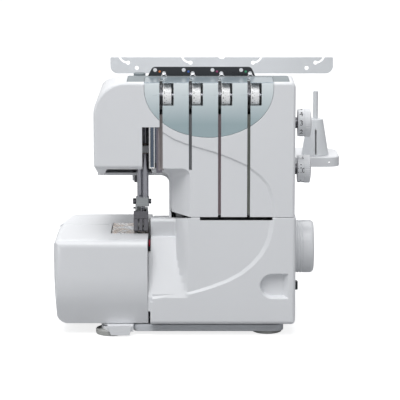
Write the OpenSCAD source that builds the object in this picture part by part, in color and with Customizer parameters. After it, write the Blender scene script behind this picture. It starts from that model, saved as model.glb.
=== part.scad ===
// Serger overlock machine: a four-thread overlocker with a swing-open cloth plate,
// a slide-and-tilt looper cover, a thread stand at the back and its drive inside.
// X runs to the right, Y to the back and Z up. The front plane is at the low end of Y
// and the floor is Z = 0, under the middle of the whole machine.

/* [Casing] */
// Depth over everything, from the front plane to the back of the spool tray
depth = 262; // [260:1:266]
// Wall thickness of the plastic covers
wall = 2.5; // [2:0.25:2.75]
// Right side of the column
body_right = 104; // [103:0.5:104.5]
// Right side of the looper cover
cover_right = 105.6; // [105:0.2:106]
// Left side of the sewing head
head_left = -121; // [-124:1:-119]
// Top of the casing above the floor
head_top = 291.5; // [290:0.5:292]
// Depth at which the top starts to fall towards the back
top_bend = 60; // [58:1:62]
// Height of the top at the back
top_back = 266; // [264:1:268]
// Height of the head's underside at the front
head_low = 195; // [194:0.5:196]
// Height of the head's underside at the back
head_low_back = 172; // [171:0.5:174]
// Left side of the column
column_left = -37.6; // [-38:0.2:-37]
// Crease where the column's front face turns back
column_crease = -12.4; // [-12.6:0.1:-12.2]
// Depth of the front cover
front_depth = 84; // [82:1:86]
// Depth of the body without the thread stand
body_depth = 172; // [170:1:174]
// Height of the split between the column and the looper cover
split_z = 139.2; // [139:0.1:139.6]

/* [Base and bed] */
// Underside of the covers above the floor
skirt_z = 15; // [15:0.5:16]
// Top of the sewing bed
bed_z = 112.5; // [112:0.5:113]
// Outer left side of the cloth plate
bed_left = -167.5; // [-169:0.5:-167.5]
// Right side of the cloth plate
plate_right = -61.3; // [-61.5:0.1:-61.1]
// Depth of the cloth plate
plate_depth = 90; // [89:0.5:91]
// Left side of the looper cover
looper_left = -58.5; // [-58.7:0.1:-58.3]
// Depth of the looper cover
looper_depth = 36; // [35:0.5:37]

/* [Thread path] */
// Middle of the first thread slot
slot_x0 = -45.6; // [-46:0.1:-45.4]
// Distance between thread slots
slot_pitch = 32.57; // [32.4:0.01:32.7]
// Width of a thread slot
slot_w = 3.4; // [3:0.1:3.6]
// Radius of a tension dial
dial_r = 14; // [13.5:0.5:14]
// Middle of the thread stand
stand_x = 24.2; // [24:0.1:24.3]
// Distance between spool pins
spool_pitch = 76.2; // [76:0.1:76.4]

/* [Drive] */
// Radius of the main shaft
shaft_r = 6; // [5.5:0.5:6]
// Height of the main shaft
shaft_z = 91; // [90.5:0.5:91.5]
// Radius of the handwheel
wheel_r = 30.5; // [29:0.5:31]
// Radius of the needle bar
needle_bar_r = 3.2; // [3:0.1:3.3]
// Radius of the presser bar
presser_bar_r = 3.5; // [3.3:0.1:3.6]

/* [Hidden] */

$fn = 48;
white = "whitesmoke";
steel = "lightsteelblue";
past = 1;                                // how far a cut runs past a face
fit = 0.05;                              // radial clearance of a running fit
inside = body_right - wall;              // inner face of the right wall
cover_in = cover_right - wall;           // inner face of the looper cover's right wall
top_fall = (head_top - top_back) / (body_depth - top_bend);
rear_start = front_depth + 0.4;          // front edge of the rear cover
low_start = looper_depth + 0.4;          // front edge of the rear cover below the column
ledge_z = 131.8;                         // top of the ledge beside the bed
bed_wall = looper_left + 0.5;            // wall between the bed and the looper room
bed_side = looper_left - 0.5;            // right side of the rear bed
mech_start = 44;                         // front of the inner frame
cloth_low = skirt_z + 0.6;               // underside of the cloth plate beside its hinge
cloth_hem = 13.4;                        // its underside at the front
lean_r = 60;                             // its front curves back below by this radius
lean_z = 62;                             // height where that curve starts
lens_x = [-64, 79.3];                    // sides of the tension cover
lens_depth = 45;
shaft_y = 70;                            // depth of the main shaft behind the front plane
bar_x = -64.5;                           // needle bar
bar_y = 56;
needle_xs = [-69.6, -67.2];              // the two needles
needle_y = bar_y - 1;
presser_x = -71.2;                       // presser bar
presser_y = 66;
rocker_y = 130;                          // needle rocker's shaft
rocker_z = 240;
rocker_r = 5;
spindle_y = dial_r + 1.2;                // tension spindle
spindle_z = 275.5;
spindle_r = 3;
hinge_x = bed_left + 9.5;                // pivot of the cloth plate
hinge_y = plate_depth - 10;
hinge_r = 4;
pivot_y = 7;                             // pivot of the looper cover
pivot_z = 21.5;
pivot_r = 2.5;
looper_ps = [[-84, 84], [-50, 84]];      // looper shafts, X and Z
looper_r = 4;
foot_pin = [65.4, 122.4];                // pivot of the presser foot, Y and Z
knife_pin = [70, 119.5];                 // pivot of the knife arm, Y and Z
lifter_pin = [128, 163];                 // pivot of the lifter lever, Y and Z
stand_y = 212;                           // depth of the spool pins
stand_rod_y = stand_y + 6;
guide_y = stand_rod_y + 5;               // front face of the guide bar
tray_z = 175;                            // top of the spool tray
pin_r = 3.1;                             // spool pin, and its root inside the cone holder
root_r = 3.6;
cone_top = 218.8;                        // top of the cone holders
side_y = 60;                             // depth of the dials on the right side
side_zs = [237.3, 183.9];                // heights of the stitch dial and the feed dial
pulley_x = [60, 70];
pulley_r = 28;
motor_y = 128;
motor_z = 50;
motor_pulley_r = 10;
belt_gap = 0.35;
belt_t = 2;
slots = [for (i = [0:3]) slot_x0 + i * slot_pitch];
pins = [for (i = [-1.5:1:1.5]) stand_x + i * spool_pitch];
screw_ps = [[-66, 140], [84, 66], [10, 150], [-148, 96], [-70, 24], [84, 150]];

// Points of an arc about (cx, cy), from angle a to angle b
function arc(cx, cy, r, a, b, n = 8) = r == 0 ? [[cx, cy]] :
    [for (i = [0:n]) [cx + r * cos(a + (b - a) * i / n), cy + r * sin(a + (b - a) * i / n)]];

// Height of the top at depth y, behind its bend
function top_at(y) = head_top - top_fall * (y - top_bend);

// Height of the shoulder beside the column at depth y, level with the ledge at 38
function ledge_at(y) = ledge_z - 0.189 * (y - 38);

// Everything is drawn from the front plane back, then set about the middle of the depth
module placed() translate([0, -depth / 2, 0]) children();

// A box between limits along each axis
module block(x, y, z)
    translate([x[0], y[0], z[0]]) cube([x[1] - x[0], y[1] - y[0], z[1] - z[0]]);

// Round bars along each axis; p gives the other two coordinates in axis order
module bar_x(x, p, r)
    translate([x[0], p[0], p[1]]) rotate([0, 90, 0]) cylinder(r = r, h = x[1] - x[0]);
module bar_y(y, p, r)
    translate([p[0], y[0], p[1]]) rotate([-90, 0, 0]) cylinder(r = r, h = y[1] - y[0]);
module bar_z(z, p, r)
    translate([p[0], p[1], z[0]]) cylinder(r = r, h = z[1] - z[0]);

// Tubes along X and Z
module tube_x(x, p, r, bore) difference() {
    bar_x(x, p, r);
    bar_x([x[0] - past, x[1] + past], p, bore);
}
module tube_z(z, p, r, bore) difference() {
    bar_z(z, p, r);
    bar_z([z[0] - past, z[1] + past], p, bore);
}

// A front view outline, drawn in X and Z, pulled back from y[0] to y[1]
module front_view(y)
    translate([0, y[1], 0]) rotate([90, 0, 0]) linear_extrude(y[1] - y[0]) children();

// A side view outline, drawn in Y and Z, pulled right from x[0] to x[1]
module side_view(x)
    translate([x[0], 0, 0]) rotate([90, 0, 90]) linear_extrude(x[1] - x[0]) children();

// A plan outline, drawn in X and Y, pulled up from z[0] to z[1]
module plan_view(z) translate([0, 0, z[0]]) linear_extrude(z[1] - z[0]) children();

// A rectangle whose corner radii run from low left, round by low right
module soft_square(x, y, r) polygon(concat(
    arc(x[0] + r[0], y[0] + r[0], r[0], 180, 270), arc(x[1] - r[1], y[0] + r[1], r[1], 270, 360),
    arc(x[1] - r[2], y[1] - r[2], r[2], 0, 90), arc(x[0] + r[3], y[1] - r[3], r[3], 90, 180)));

// ---- Base ----

module base_plate() color("darkgray") placed() difference() {
    union() {
        plan_view([4, 12]) soft_square([-78, 93], [12, 164], [6, 10, 10, 10]);
        plan_view([11, skirt_z]) soft_square([-78, 93], [38, 164], [1, 1, 10, 10]);
        plan_view([6, skirt_z]) soft_square([-160, -60], [72, 150], [8, 1, 1, 8]);
        bar_z([6, skirt_z], [hinge_x, hinge_y], 8.5);
    }
    bar_z([6, skirt_z + past], [hinge_x, hinge_y], hinge_r);
    // cooling slots under the motor
    for (i = [0:5])
        block([-14 + i * 12, -9 + i * 12], [66, 124], [3, skirt_z + past]);
    for (p = screw_ps)
        bar_z([3, 8], p, 4.2);
}

module front_leg() color(white) placed() difference() {
    union() {
        plan_view([6, 12.8]) soft_square([-107.5, -78], [3, 44], [0, 0, 1, 6]);
        bar_z([6, 12.8], [-104, 21.4], 11);
        front_view([1.6, 3.6]) polygon([[-107.9, 12.8], [-103.4, 1.8], [-82.4, 1.8], [-79.5, 12.8]]);
    }
    block([-116, -106], [9, 20], [9.6, 11.4]);
}

// A foot pad, a disc with eased edges
module foot_pad(p, r, h) translate([p[0], p[1], 0]) rotate_extrude()
    polygon([[0, 0], [r - 1.5, 0], [r, 1.5], [r, h - 1], [r - 1, h], [0, h]]);

module rubber_feet() color("gray") placed() {
    foot_pad([-104, 21.4], 17.3, 6);
    foot_pad([74.5, 31], 17.3, 4);
    foot_pad([74, 144], 15, 4);
    foot_pad([-132, 130], 15, 6);
}

module inner_frame() color("silver") placed() difference() {
    union() {
        // floor, column walls, back web and arm
        block([-54, 98], [mech_start, 164], [skirt_z, 22]);
        for (x = [[-30, -22], [84, 92]])
            block(x, [mech_start, 164], [22, 255]);
        block([-22, 84], [156, 164], [22, 255]);
        block([-100, 92], [100, 164], [215, 223]);
        // head with the two decks that guide the bars
        block([-84, -70], [92, 100], [205, 264]);
        for (z = [[256, 264], [205, 213]])
            block([-84, -56], [mech_start, 100], z);
        // bed carrier
        block([-104, -44], [98, 106], [skirt_z + 0.1, 106]);
        block([-104, -54], [106, 149], [skirt_z, 22]);
        // ears of the looper cover's rod
        for (x = [[-44, -38], [78, 84]]) {
            block(x, [pivot_y, mech_start], [18.2, 22]);
            bar_x(x, [pivot_y, pivot_z], 4);
        }
        // lug that carries the tension rail
        block([-50, 92], [mech_start, 60], [255, 257]);
    }
    bar_x([-31, 93], [shaft_y, shaft_z], 12);
    bar_x([-31, 93], [rocker_y, rocker_z], rocker_r + fit);
    for (z = [[204, 214], [255, 265]]) {
        bar_z(z, [bar_x, bar_y], needle_bar_r + 2);
        bar_z(z, [presser_x, presser_y], presser_bar_r + 2);
    }
    for (p = looper_ps)
        bar_y([97, 107], p, looper_r + fit);
    bar_x([-45, 85], [pivot_y, pivot_z], pivot_r + fit);
}

module case_screws() color(steel) placed() for (p = screw_ps) difference() {
    bar_z([5.5, 8], p, 4);
    block([p[0] - 3, p[0] + 3], [p[1] - 0.5, p[1] + 0.5], [5, 6.5]);
}

// ---- Casing ----

// Head and arm, grown smaller by i; the top and the underside fall towards the back
module head_block(i, y) intersection() {
    front_view(y) soft_square([head_left + i, body_right - i], [head_low_back - past, head_top - i],
        [0, 0, 6 - i, 37 - i]);
    side_view([head_left - past, body_right + past]) polygon([[-past, head_low + i], [0, head_low + i],
        [front_depth, head_low_back + i], [body_depth, head_low_back + i], [body_depth, top_back - i],
        [top_bend - past / top_fall, head_top - i + past], [-past, head_top + past]]);
}

// Column under the arm, grown smaller by i; its left front edge is cut back to the crease
module column_block(i, y, low) plan_view([low, head_low + 20]) intersection() {
    polygon([[column_crease + i * 0.8, -past], [column_crease + i * 0.8, i * 0.4],
        [column_left + i, 38 + i * 0.4], [column_left + i, body_depth], [body_right - i, body_depth],
        [body_right - i, -past]]);
    translate([column_left, y[0]]) square([body_right - column_left, y[1] - y[0]]);
}

// Outline of the tinted tension cover, grown by g and running past the top by up
module lens_outline(g, up) {
    middle = (lens_x[0] + lens_x[1]) / 2;
    half = (lens_x[1] - lens_x[0]) / 2 + g;
    polygon(concat([[middle - half, head_top + up]],
        [for (a = [180:7.5:360]) [middle + half * cos(a), 283.5 + (53.6 + g) * sin(a)]],
        [[middle + half, head_top + up]]));
}

module front_cover() color(white) placed() difference() {
    union() {
        head_block(0, [0, front_depth]);
        column_block(0, [0, front_depth], split_z);
        // lower edge of the right wall, sloped as the looper cover's top is
        side_view([inside, body_right]) polygon([[15, split_z + past], [15, split_z], [looper_depth, split_z - 3.4],
            [looper_depth, split_z + past]]);
    }
    head_block(wall, [wall, front_depth + past]);
    column_block(wall, [wall, front_depth + past], split_z + wall);
    // open bottom of the column behind its front flange
    block([column_left + wall, inside], [34, front_depth + past], [split_z - past, split_z + wall + past]);
    // room for the bars under the head, and the needle slot in its face
    plan_view([head_low_back - 10, head_low + wall + past])
        polygon([[-107, 12], [-57, 12], [-57, 78], [-113, 78]]);
    block([-66.8, -44.2], [-past, 22], [head_low - 20, 241.3]);
    // thread slots
    for (i = [0:3])
        block([slots[i] - slot_w / 2, slots[i] + slot_w / 2], [-past, 11],
            [i < 2 ? head_low - 8 : split_z - past, head_top + past]);
    // seats of the tension cover and of the top cover
    front_view([-past, wall + 0.1]) lens_outline(0.3, past);
    block([lens_x[0] - 0.3, lens_x[1] + 0.3], [-past, lens_depth + 0.3],
        [head_top - wall - 0.1, head_top + past]);
    side_view([-84, 97.6]) polygon([[5.7, head_top - wall - 0.1], [top_bend, head_top - wall - 0.1],
        [front_depth + past, top_at(front_depth + past) - wall - 0.1], [front_depth + past, head_top + past],
        [5.7, head_top + past]]);
    for (z = side_zs)
        bar_x([inside - past, body_right + past], [side_y, z], 6.6);
}

// Space above the shoulder that falls toward the back beside the column, grown by i
module shoulder_room(i) side_view([bed_wall - past, column_left + i]) polygon([[20, ledge_at(20) - 1.02 * i],
    [body_depth + 5, ledge_at(body_depth + 5) - 1.02 * i], [body_depth + 5, 160], [20, 160]]);

module rear_cover() color(white) placed() {
    difference() {
        union() {
            head_block(0, [rear_start, body_depth]);
            column_block(0, [rear_start, body_depth], ledge_z);
            block([column_left, body_right], [low_start, rear_start], [ledge_z, split_z - 0.4]);
            front_view([rear_start, body_depth]) polygon(concat([[column_left, head_low_back]],
                arc(column_left - 11, head_low_back - 11, 11, 90, 0)));
            block([bed_wall, body_right], [low_start, body_depth], [skirt_z + 0.1, ledge_z]);
        }
        intersection() {
            shoulder_room(0);
            block([bed_wall - past, column_left], [20, body_depth + 5], [90, ledge_z + past]);
        }
        head_block(wall, [rear_start - past, body_depth - wall]);
        column_block(wall, [rear_start - past, body_depth - wall], ledge_z - wall - past);
        block([column_left + wall, inside], [low_start - past, rear_start + past],
            [ledge_z - wall - past, split_z + past]);
        difference() {
            block([bed_wall + wall, inside], [low_start - past, body_depth - wall],
                [skirt_z - past, ledge_z - wall]);
            shoulder_room(wall);
        }
        // room for the loopers, the knife arm's pin, the shaft, the switch and the inlet
        block([bed_wall - past, bed_wall + wall + past], [mech_start - 4, 112], [skirt_z - past, 112]);
        block([bed_wall - past, bed_wall + wall + past], [111, body_depth - 6], [skirt_z - past, 100]);
        bar_x([bed_wall - past, bed_wall + wall + past], knife_pin, 2 + fit);
        bar_x([inside - past, body_right + past], [shaft_y, shaft_z], 8);
        block([inside - past, body_right + past], [51.5, 68.5], [42.5, 53]);
        block([inside - past, body_right + past], [105.5, 128.5], [37, 55]);
        // cooling slots in the back, and the way in for the tray bracket
        for (i = [0:6])
            block([10 + i * 10, 14 + i * 10], [body_depth - wall - past, body_depth + past], [40, 80]);
        block([stand_x - 27, stand_x + 27], [body_depth - wall - past, body_depth + past], [150, 158]);
    }
    // ears of the lifter lever
    difference() {
        union() {
            block([-82, -64], [118, 138], [169.5, head_low_back]);
            for (x = [[-82, -79.5], [-66.5, -64]])
                block(x, [122, 134], [158, 169.5]);
        }
        bar_x([-83, -63], lifter_pin, 2);
    }
}

module top_cover() color("gray") placed() difference() {
    side_view([-83.7, 97.3]) polygon([[6, head_top - wall], [top_bend, head_top - wall],
        [front_depth, top_at(front_depth) - wall], [front_depth, top_at(front_depth)], [top_bend, head_top],
        [6, head_top]]);
    block([lens_x[0] - 0.3, lens_x[1] + 0.3], [5, lens_depth + 0.3], [head_top - wall - past, head_top + past]);
    bar_z([head_top - 10, head_top + past], [presser_x, presser_y], 7.3);
}

// Bed behind the cloth plate, grown smaller by i, with its right side at x
module rear_bed_outline(i, x) polygon(concat([[x, plate_depth + 1 + i], [-166 + i, plate_depth + 1 + i]],
    arc(-145, 141, 11 - i, 180, 90), [[x, 152 - i]]));

module rear_bed() color(white) placed() difference() {
    plan_view([skirt_z + 0.1, bed_z]) rear_bed_outline(0, bed_side);
    plan_view([skirt_z - past, bed_z - wall]) rear_bed_outline(wall, bed_side + past);
    // room for the mechanism, and the seat of the needle plate
    block([-152, bed_side + past], [plate_depth, plate_depth + wall + 2], [skirt_z - past, bed_z - 8]);
    block([-104.4, bed_side + past], [plate_depth, 97.4], [bed_z - 1.6, bed_z + past]);
    block([-102, bed_side + past], [plate_depth, 95], [bed_z - 9, bed_z + past]);
}

// ---- Thread path on the head ----

module tension_cover() color("cadetblue", 0.6) placed() difference() {
    union() {
        front_view([0, wall]) lens_outline(0, 0);
        block(lens_x, [0, lens_depth], [head_top - wall, head_top]);
    }
    for (x = slots) {
        block([x - slot_w / 2, x + slot_w / 2], [-past, 30], [220, head_top + past]);
        block([x + slot_w / 2 - 0.1, x + 14], [-past, 30], [266.7, head_top - 1]);
    }
}

module guide_plate() color("black") placed() {
    difference() {
        front_view([57, 58.5]) polygon(concat([[-61.5, head_top]], arc(-53, 296.8, 5, 150, 90, 4),
            arc(52.5, 296.8, 5, 90, 30, 4), [[60.4, head_top]]));
        for (x = slots) {
            bar_y([56, 60], [x - 7.7, 298.2], 2.2);
            bar_y([56, 60], [x + 2.4, 294.4], 2.2);
        }
    }
    side_view([-60, 59]) polygon([[58.5, head_top], [top_bend, head_top], [72, top_at(72)],
        [72, top_at(72) + 1.2], [top_bend, head_top + 1.2], [58.5, head_top + 1.2]]);
}

module colour_dots() color("orange") placed()
    for (x = slots) bar_y([56.5, 57], [x - 2.5, 296.4], 1.3);

// Wire eyes above the slots and bent guide strips in the needle slot
module thread_guides() color(steel) placed() {
    for (x = slots)
        translate([x + 2.6, 50, head_top]) rotate([90, 0, 0]) rotate_extrude(angle = 180)
            translate([2.6, 0]) circle(0.8, $fn = 24);
    difference() {
        union() {
            block([-59.7, -52.8], [14, 19.4], [192, 239]);
            block([-51.3, -44.8], [11, 19.4], [188, 239]);
            block([-53, -51], [18.2, 19.4], [198, 239]);
        }
        block([-57.9, -54.3], [13, 17.6], [193.5, 240]);
    }
    block([-59.7, -57.5], [19.4, mech_start], [205.5, 208]);
}

module tension_rail() color("silver") placed() difference() {
    union() {
        block([-50, 76], [33, 35], [257, 288]);
        block([-50, 76], [35, 60], [257, 259]);
        block([-62, -50], [33, 35], [264, 288]);
        for (x = [-60.5, 72])
            block([x, x + 2.5], [9, 33], [268, 282]);
    }
    bar_x([-61, 76], [spindle_y, spindle_z], spindle_r);
}

module tension_spindle() color(steel) placed() bar_x([-60.5, 74.5], [spindle_y, spindle_z], spindle_r);

module tension_discs() color(steel) placed() for (x = slots, s = [-0.95, 0.35])
    tube_x([x + s, x + s + 0.6], [spindle_y, spindle_z], 11, spindle_r);

// Tension dial number i, with grip notches round the right half of its rim
module tension_dial(i) color(white) placed() difference() {
    tube_x([slots[i] + 2, slots[i] + 11.6], [spindle_y, spindle_z], dial_r, spindle_r + fit);
    for (a = [0:15:345])
        translate([slots[i], spindle_y, spindle_z]) rotate([a, 0, 0])
            block([7.5, 12], [dial_r - 0.5, dial_r + 1], [-0.6, 0.6]);
}

module tension_dial_1() tension_dial(0);
module tension_dial_2() tension_dial(1);
module tension_dial_3() tension_dial(2);
module tension_dial_4() tension_dial(3);

// ---- Needle bar and presser bar ----

module bushes() color("goldenrod") placed() {
    for (z = [[203, 214], [255, 265]]) {
        tube_z(z, [bar_x, bar_y], needle_bar_r + 2, needle_bar_r + fit);
        tube_z(z, [presser_x, presser_y], presser_bar_r + 2, presser_bar_r + fit);
    }
    for (x = [[-31, -21], [83, 93]])
        tube_x(x, [shaft_y, shaft_z], 12, shaft_r + fit);
}

module needle_bar() color(steel) placed() bar_z([150, 269], [bar_x, bar_y], needle_bar_r);

module needle_clamp() color("slategray") placed() difference() {
    plan_view([141.3, 152])
        soft_square([-75.8, -60.9], [bar_y - 5, bar_y + 3.6], [1.5, 1.5, 1.5, 1.5]);
    bar_z([150, 153], [bar_x, bar_y], needle_bar_r);
    for (x = needle_xs)
        bar_z([140, 149], [x, needle_y], 1);
    bar_x([-77, -70.8], [needle_y, 147], 1.5);
    bar_x([-64, -60], [needle_y, 147], 1.5);
}

module clamp_screws() color("dimgray") placed() {
    bar_x([-79.3, -75.8], [needle_y, 147], 3.4);
    bar_x([-75.8, -70.8], [needle_y, 147], 1.5);
    bar_x([-60.9, -58.2], [needle_y, 147], 2.9);
    bar_x([-64, -60.9], [needle_y, 147], 1.5);
}

module needles() color(steel) placed() for (x = needle_xs)
    translate([x, needle_y, 0]) rotate_extrude($fn = 24)
        polygon([[0, 117], [0.45, 121], [0.45, 138], [1, 141], [1, 149], [0, 149]]);

module presser_bar() color(steel) placed() {
    bar_z([137, 270], [presser_x, presser_y], presser_bar_r);
    difference() {
        bar_z([224, 232], [presser_x, presser_y], 7.4);
        block([bar_x - needle_bar_r - 0.8, bar_x + 6], [50, 80], [223, 233]);
    }
}

module presser_spring() color(steel) placed() difference() {
    bar_z([232, 255], [presser_x, presser_y], 5.2);
    bar_z([231, 256], [presser_x, presser_y], presser_bar_r + 0.5);
    for (i = [0:4])
        tube_z([233.6 + i * 4.4, 235.8 + i * 4.4], [presser_x, presser_y], 6, 4.4);
}

module presser_ankle() color("slategray") placed() difference() {
    union() {
        plan_view([125.5, 137]) soft_square([-77, -62.4], [61, 71], [2, 2, 2, 2]);
        plan_view([137, 141]) soft_square([-76.8, -65.8], [61, 71], [2, 2, 2, 2]);
        block([-73.5, -67.5], [62.4, 68.4], [120, 125.5]);
    }
    bar_z([137, 142], [presser_x, presser_y], presser_bar_r);
    bar_x([-75, -60], foot_pin, 1.2 + fit);
}

module presser_foot() color("dimgray") placed() difference() {
    union() {
        side_view([-78.2, -61.4]) polygon([[78, 117.6], [78, 115.2], [42, 115.2], [43, 117.8], [46, 117.8]]);
        // toes and the bar across them
        for (x = [[-78.2, -73.2], [-71.6, -68], [-66.4, -61.4]])
            side_view(x) polygon([[46, 115.2], [37, 115.2], [35, 116.6], [40, 130], [48, 130], [48, 126], [44, 117.8]]);
        side_view([-78.2, -61.4]) polygon([[39.8, 129.5], [48, 129.5], [48, 136], [46.5, 137.5], [42.5, 137.5]]);
        for (x = [[-76.6, -74], [-67, -64.4]])
            block(x, [61, 70], [117, 125]);
        bar_x([-76.6, -64.4], foot_pin, 1.2);
    }
    block([-72.4, -64.6], [50, 60], [114, 120]);
}

module pressure_knob() color("silver") placed() difference() {
    union() {
        bar_z([head_top - 4, head_top + 2.4], [presser_x, presser_y], 6.8);
        bar_z([281, head_top - 4], [presser_x, presser_y], 3);
    }
    block([presser_x - 5, presser_x + 5], [presser_y - 0.7, presser_y + 0.7],
        [head_top + 1, head_top + 3]);
}

module lifter_lever() color("dimgray") placed() {
    side_view([-79, -67]) polygon([[96, 165.4], [96, 161.4], [124, 158.6], [134, 158.6], [172, 147],
        [174, 150], [136, 166.6], [122, 167.4]]);
    bar_x([-81.5, -64.5], lifter_pin, 2 - fit);
}

// ---- Bed, knives and loopers ----

module needle_plate() color(steel) placed() difference() {
    block([-103.4, -61.6], [40.4, 97], [bed_z - 1.5, bed_z]);
    for (x = [-76.4, -65.4])
        block([x, x + 2], [54, 80], [bed_z - 3, bed_z + past]);
    block([-71.8, -65.9], [50, 60], [bed_z - 3, bed_z + past]);
}

module feed_dogs() color(steel) placed() {
    for (x = [[-76.1, -74.7], [-65.1, -63.7]], y = [[56, 67.6], [68.4, 76]])
        block(x, y, [98, bed_z - 0.4]);
    for (y = [[63, 67.6], [68.4, 73]])
        block([-76.1, -63.7], y, [95, 98]);
}

module lower_knife() color(steel) placed() {
    side_view([-63.3, -61.7])
        polygon([[46, bed_z - 1.6], [53, bed_z - 1.6], [53, 82], [50, 82]]);
    block([-66, -63.3], [46, 53], [82, 94]);
    block([-66, -61.7], [46, 98], [76, 82]);
}

module knife_arm() color("black") placed() {
    side_view([-60.8, -59]) polygon([[24.5, 100.5], [30, 100.5], [33, 116], [66, 121], [70, 115.5],
        [74, 117], [74, 122], [68, 124.6], [30, 125.6], [26, 119], [24.5, 108]]);
    bar_x([-59, -54], knife_pin, 2);
}

// A looper's shaft, hub and lever at p, in X and Z
module looper_lever(p) {
    bar_y([76, 108], p, looper_r);
    bar_y([76, 84], p, 7.6);
    block([p[0] - 2.5, p[0] + 2.5], [77, 83], [p[1] - 40, p[1]]);
}

module lower_looper() color(steel) placed() {
    looper_lever(looper_ps[0]);
    front_view([78, 81]) polygon([[-88, 88], [-88.6, 97], [-84, 102.5], [-78, 104.5], [-77.6, 103.2],
        [-82, 99.5], [-83, 97], [-81, 88]]);
}

module upper_looper() color(steel) placed() {
    looper_lever(looper_ps[1]);
    front_view([78, 81]) polygon([[-53.5, 88], [-54.5, 98], [-57.4, 103], [-57, 104.6], [-50.5, 99.6],
        [-47, 88]]);
}

module needle_rocker() color("silver") placed() {
    bar_x([-60, 92], [rocker_y, rocker_z], rocker_r);
    side_view([-61, -53]) polygon([[64, 236], [64, 241.2], [122, 250], [136, 250], [140, 240], [136, 230],
        [122, 230]]);
    block([20, 28], [rocker_y, rocker_y + 20], [236, 244]);
}

// ---- Drive ----

module main_shaft() color(steel) placed() bar_x([-38, 123.5], [shaft_y, shaft_z], shaft_r);

module shaft_pulley() color("dimgray") placed()
    tube_x(pulley_x, [shaft_y, shaft_z], pulley_r, shaft_r);

module handwheel() color(white) placed() translate([105, shaft_y, shaft_z]) rotate([0, 90, 0])
    difference() {
        rotate_extrude($fn = 96) polygon(concat([[0, 0], [wheel_r, 0]],
            // three grooves round the grip
            [for (z = [4.5, 7.5, 10.5], p = [[0, -0.6], [-0.5, -0.2], [-0.5, 0.2], [0, 0.6]])
                [wheel_r + p[0], z + p[1]]],
            [[wheel_r, 19.5]], arc(wheel_r - 4.5, 19.5, 4.5, 0, 90), [[20, 24], [18, 22.4], [0, 22.4]]));
        translate([0, 0, -past]) cylinder(r = shaft_r, h = 18.5 + past);
    }

// Outline of a belt round both pulleys: two arcs joined by the outer tangents
module belt_outline(g) {
    run = norm([motor_y - shaft_y, motor_z - shaft_z]);
    lean = atan2(motor_z - shaft_z, motor_y - shaft_y);
    wrap = acos((pulley_r - motor_pulley_r) / run);
    polygon(concat(arc(shaft_y, shaft_z, pulley_r + g, lean + wrap, lean + 360 - wrap, 48),
        arc(motor_y, motor_z, motor_pulley_r + g, lean - wrap, lean + wrap, 24)));
}

module drive_belt() color("black") placed() side_view([pulley_x[0] + 1, pulley_x[1] - 1]) difference() {
    belt_outline(belt_gap + belt_t);
    belt_outline(belt_gap);
}

module motor_pulley() color("dimgray") placed() {
    bar_x(pulley_x, [motor_y, motor_z], motor_pulley_r);
    bar_x([51, pulley_x[0]], [motor_y, motor_z], 3);
}

module motor() color("slategray") placed() difference() {
    union() {
        bar_x([-16, 54], [motor_y, motor_z], 25);
        block([-10, 48], [motor_y - 20, motor_y + 20], [22, 40]);
    }
    bar_x([50, 55], [motor_y, motor_z], 3 + fit);
}

// A side dial about height z: numbered band, fluted grip and domed end
module side_dial(z) color(white) placed() translate([109.1, side_y, z]) rotate([0, 90, 0])
    difference() {
        rotate_extrude() polygon(concat([[0, 0], [15, 0], [15.6, 0.6], [15.6, 7.2], [16, 7.6], [16, 14.2]],
            arc(0, -53.9, 70, 76.6, 90)));
        translate([0, 0, -past]) cylinder(r = 3 + fit, h = 9);
        for (a = [0:15:345])
            rotate([0, 0, a]) translate([17.1, 0, 7.8]) cylinder(r = 1.7, h = 12, $fn = 16);
    }

module stitch_dial() side_dial(side_zs[0]);
module feed_dial() side_dial(side_zs[1]);

module dial_spindles() color("dimgray") placed() for (z = side_zs) {
    bar_x([96, 108.8], [side_y, z], 6.3);
    bar_x([108.8, 116], [side_y, z], 3);
}

// ---- Opening covers ----

// Cloth plate, grown smaller by i; the inner one runs out below, at the right and at the back
module cloth_shell(i) {
    open = i > 0 ? 3 : 0;
    intersection() {
        front_view([-past, plate_depth + 5]) polygon(concat([[plate_right + open, bed_z - i]],
            arc(bed_left + 8, bed_z - 8, 8 - i, 90, 180),
            [for (p = [[0.4, 68], [0.8, 56], [1.4, 45.5], [2, 37]]) [bed_left + p[0] + i, p[1]]],
            open > 0 ? [[-164.5 + i, 27], [-164.5 + i, 5]] : arc(-152.4, cloth_hem + 12.8, 12.8, 173, 270),
            [[plate_right + open, cloth_hem - open]]));
        plan_view([skirt_z - 10, bed_z + past]) polygon(concat([[plate_right + open, i]],
            arc(bed_left + 9, 9, 9 - i, 270, 180),
            open > 0 ? [[bed_left + i, plate_depth + open]] : arc(hinge_x, hinge_y, 9.5, 180, 90),
            [[plate_right + open, hinge_y + 9.5 + open]]));
        side_view([bed_left - past, plate_right + 5]) polygon(concat(arc(9, bed_z - 9, 9 - i, 180, 90),
            [[100, bed_z - i]],
            open > 0 ? [[100, cloth_hem - 6], [13.93 + 1.046 * i, cloth_hem - 6]]
                : [[100, cloth_low], [60, cloth_low], [60, cloth_hem], [12.1, cloth_hem]],
            arc(lean_r, lean_z, lean_r - i, 197, 180)));
    }
}

module cloth_plate() color(white) placed() difference() {
    union() {
        difference() {
            cloth_shell(0);
            cloth_shell(wall);
        }
        bar_z([skirt_z + 1, 98], [hinge_x, hinge_y], 8);
    }
    bar_z([skirt_z, 99], [hinge_x, hinge_y], hinge_r + fit);
    block([-104.4, plate_right + 5], [40, plate_depth + 5], [bed_z - 5, bed_z + past]);
}

module hinge_pin() color(steel) placed() bar_z([6, 98], [hinge_x, hinge_y], hinge_r);

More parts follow.
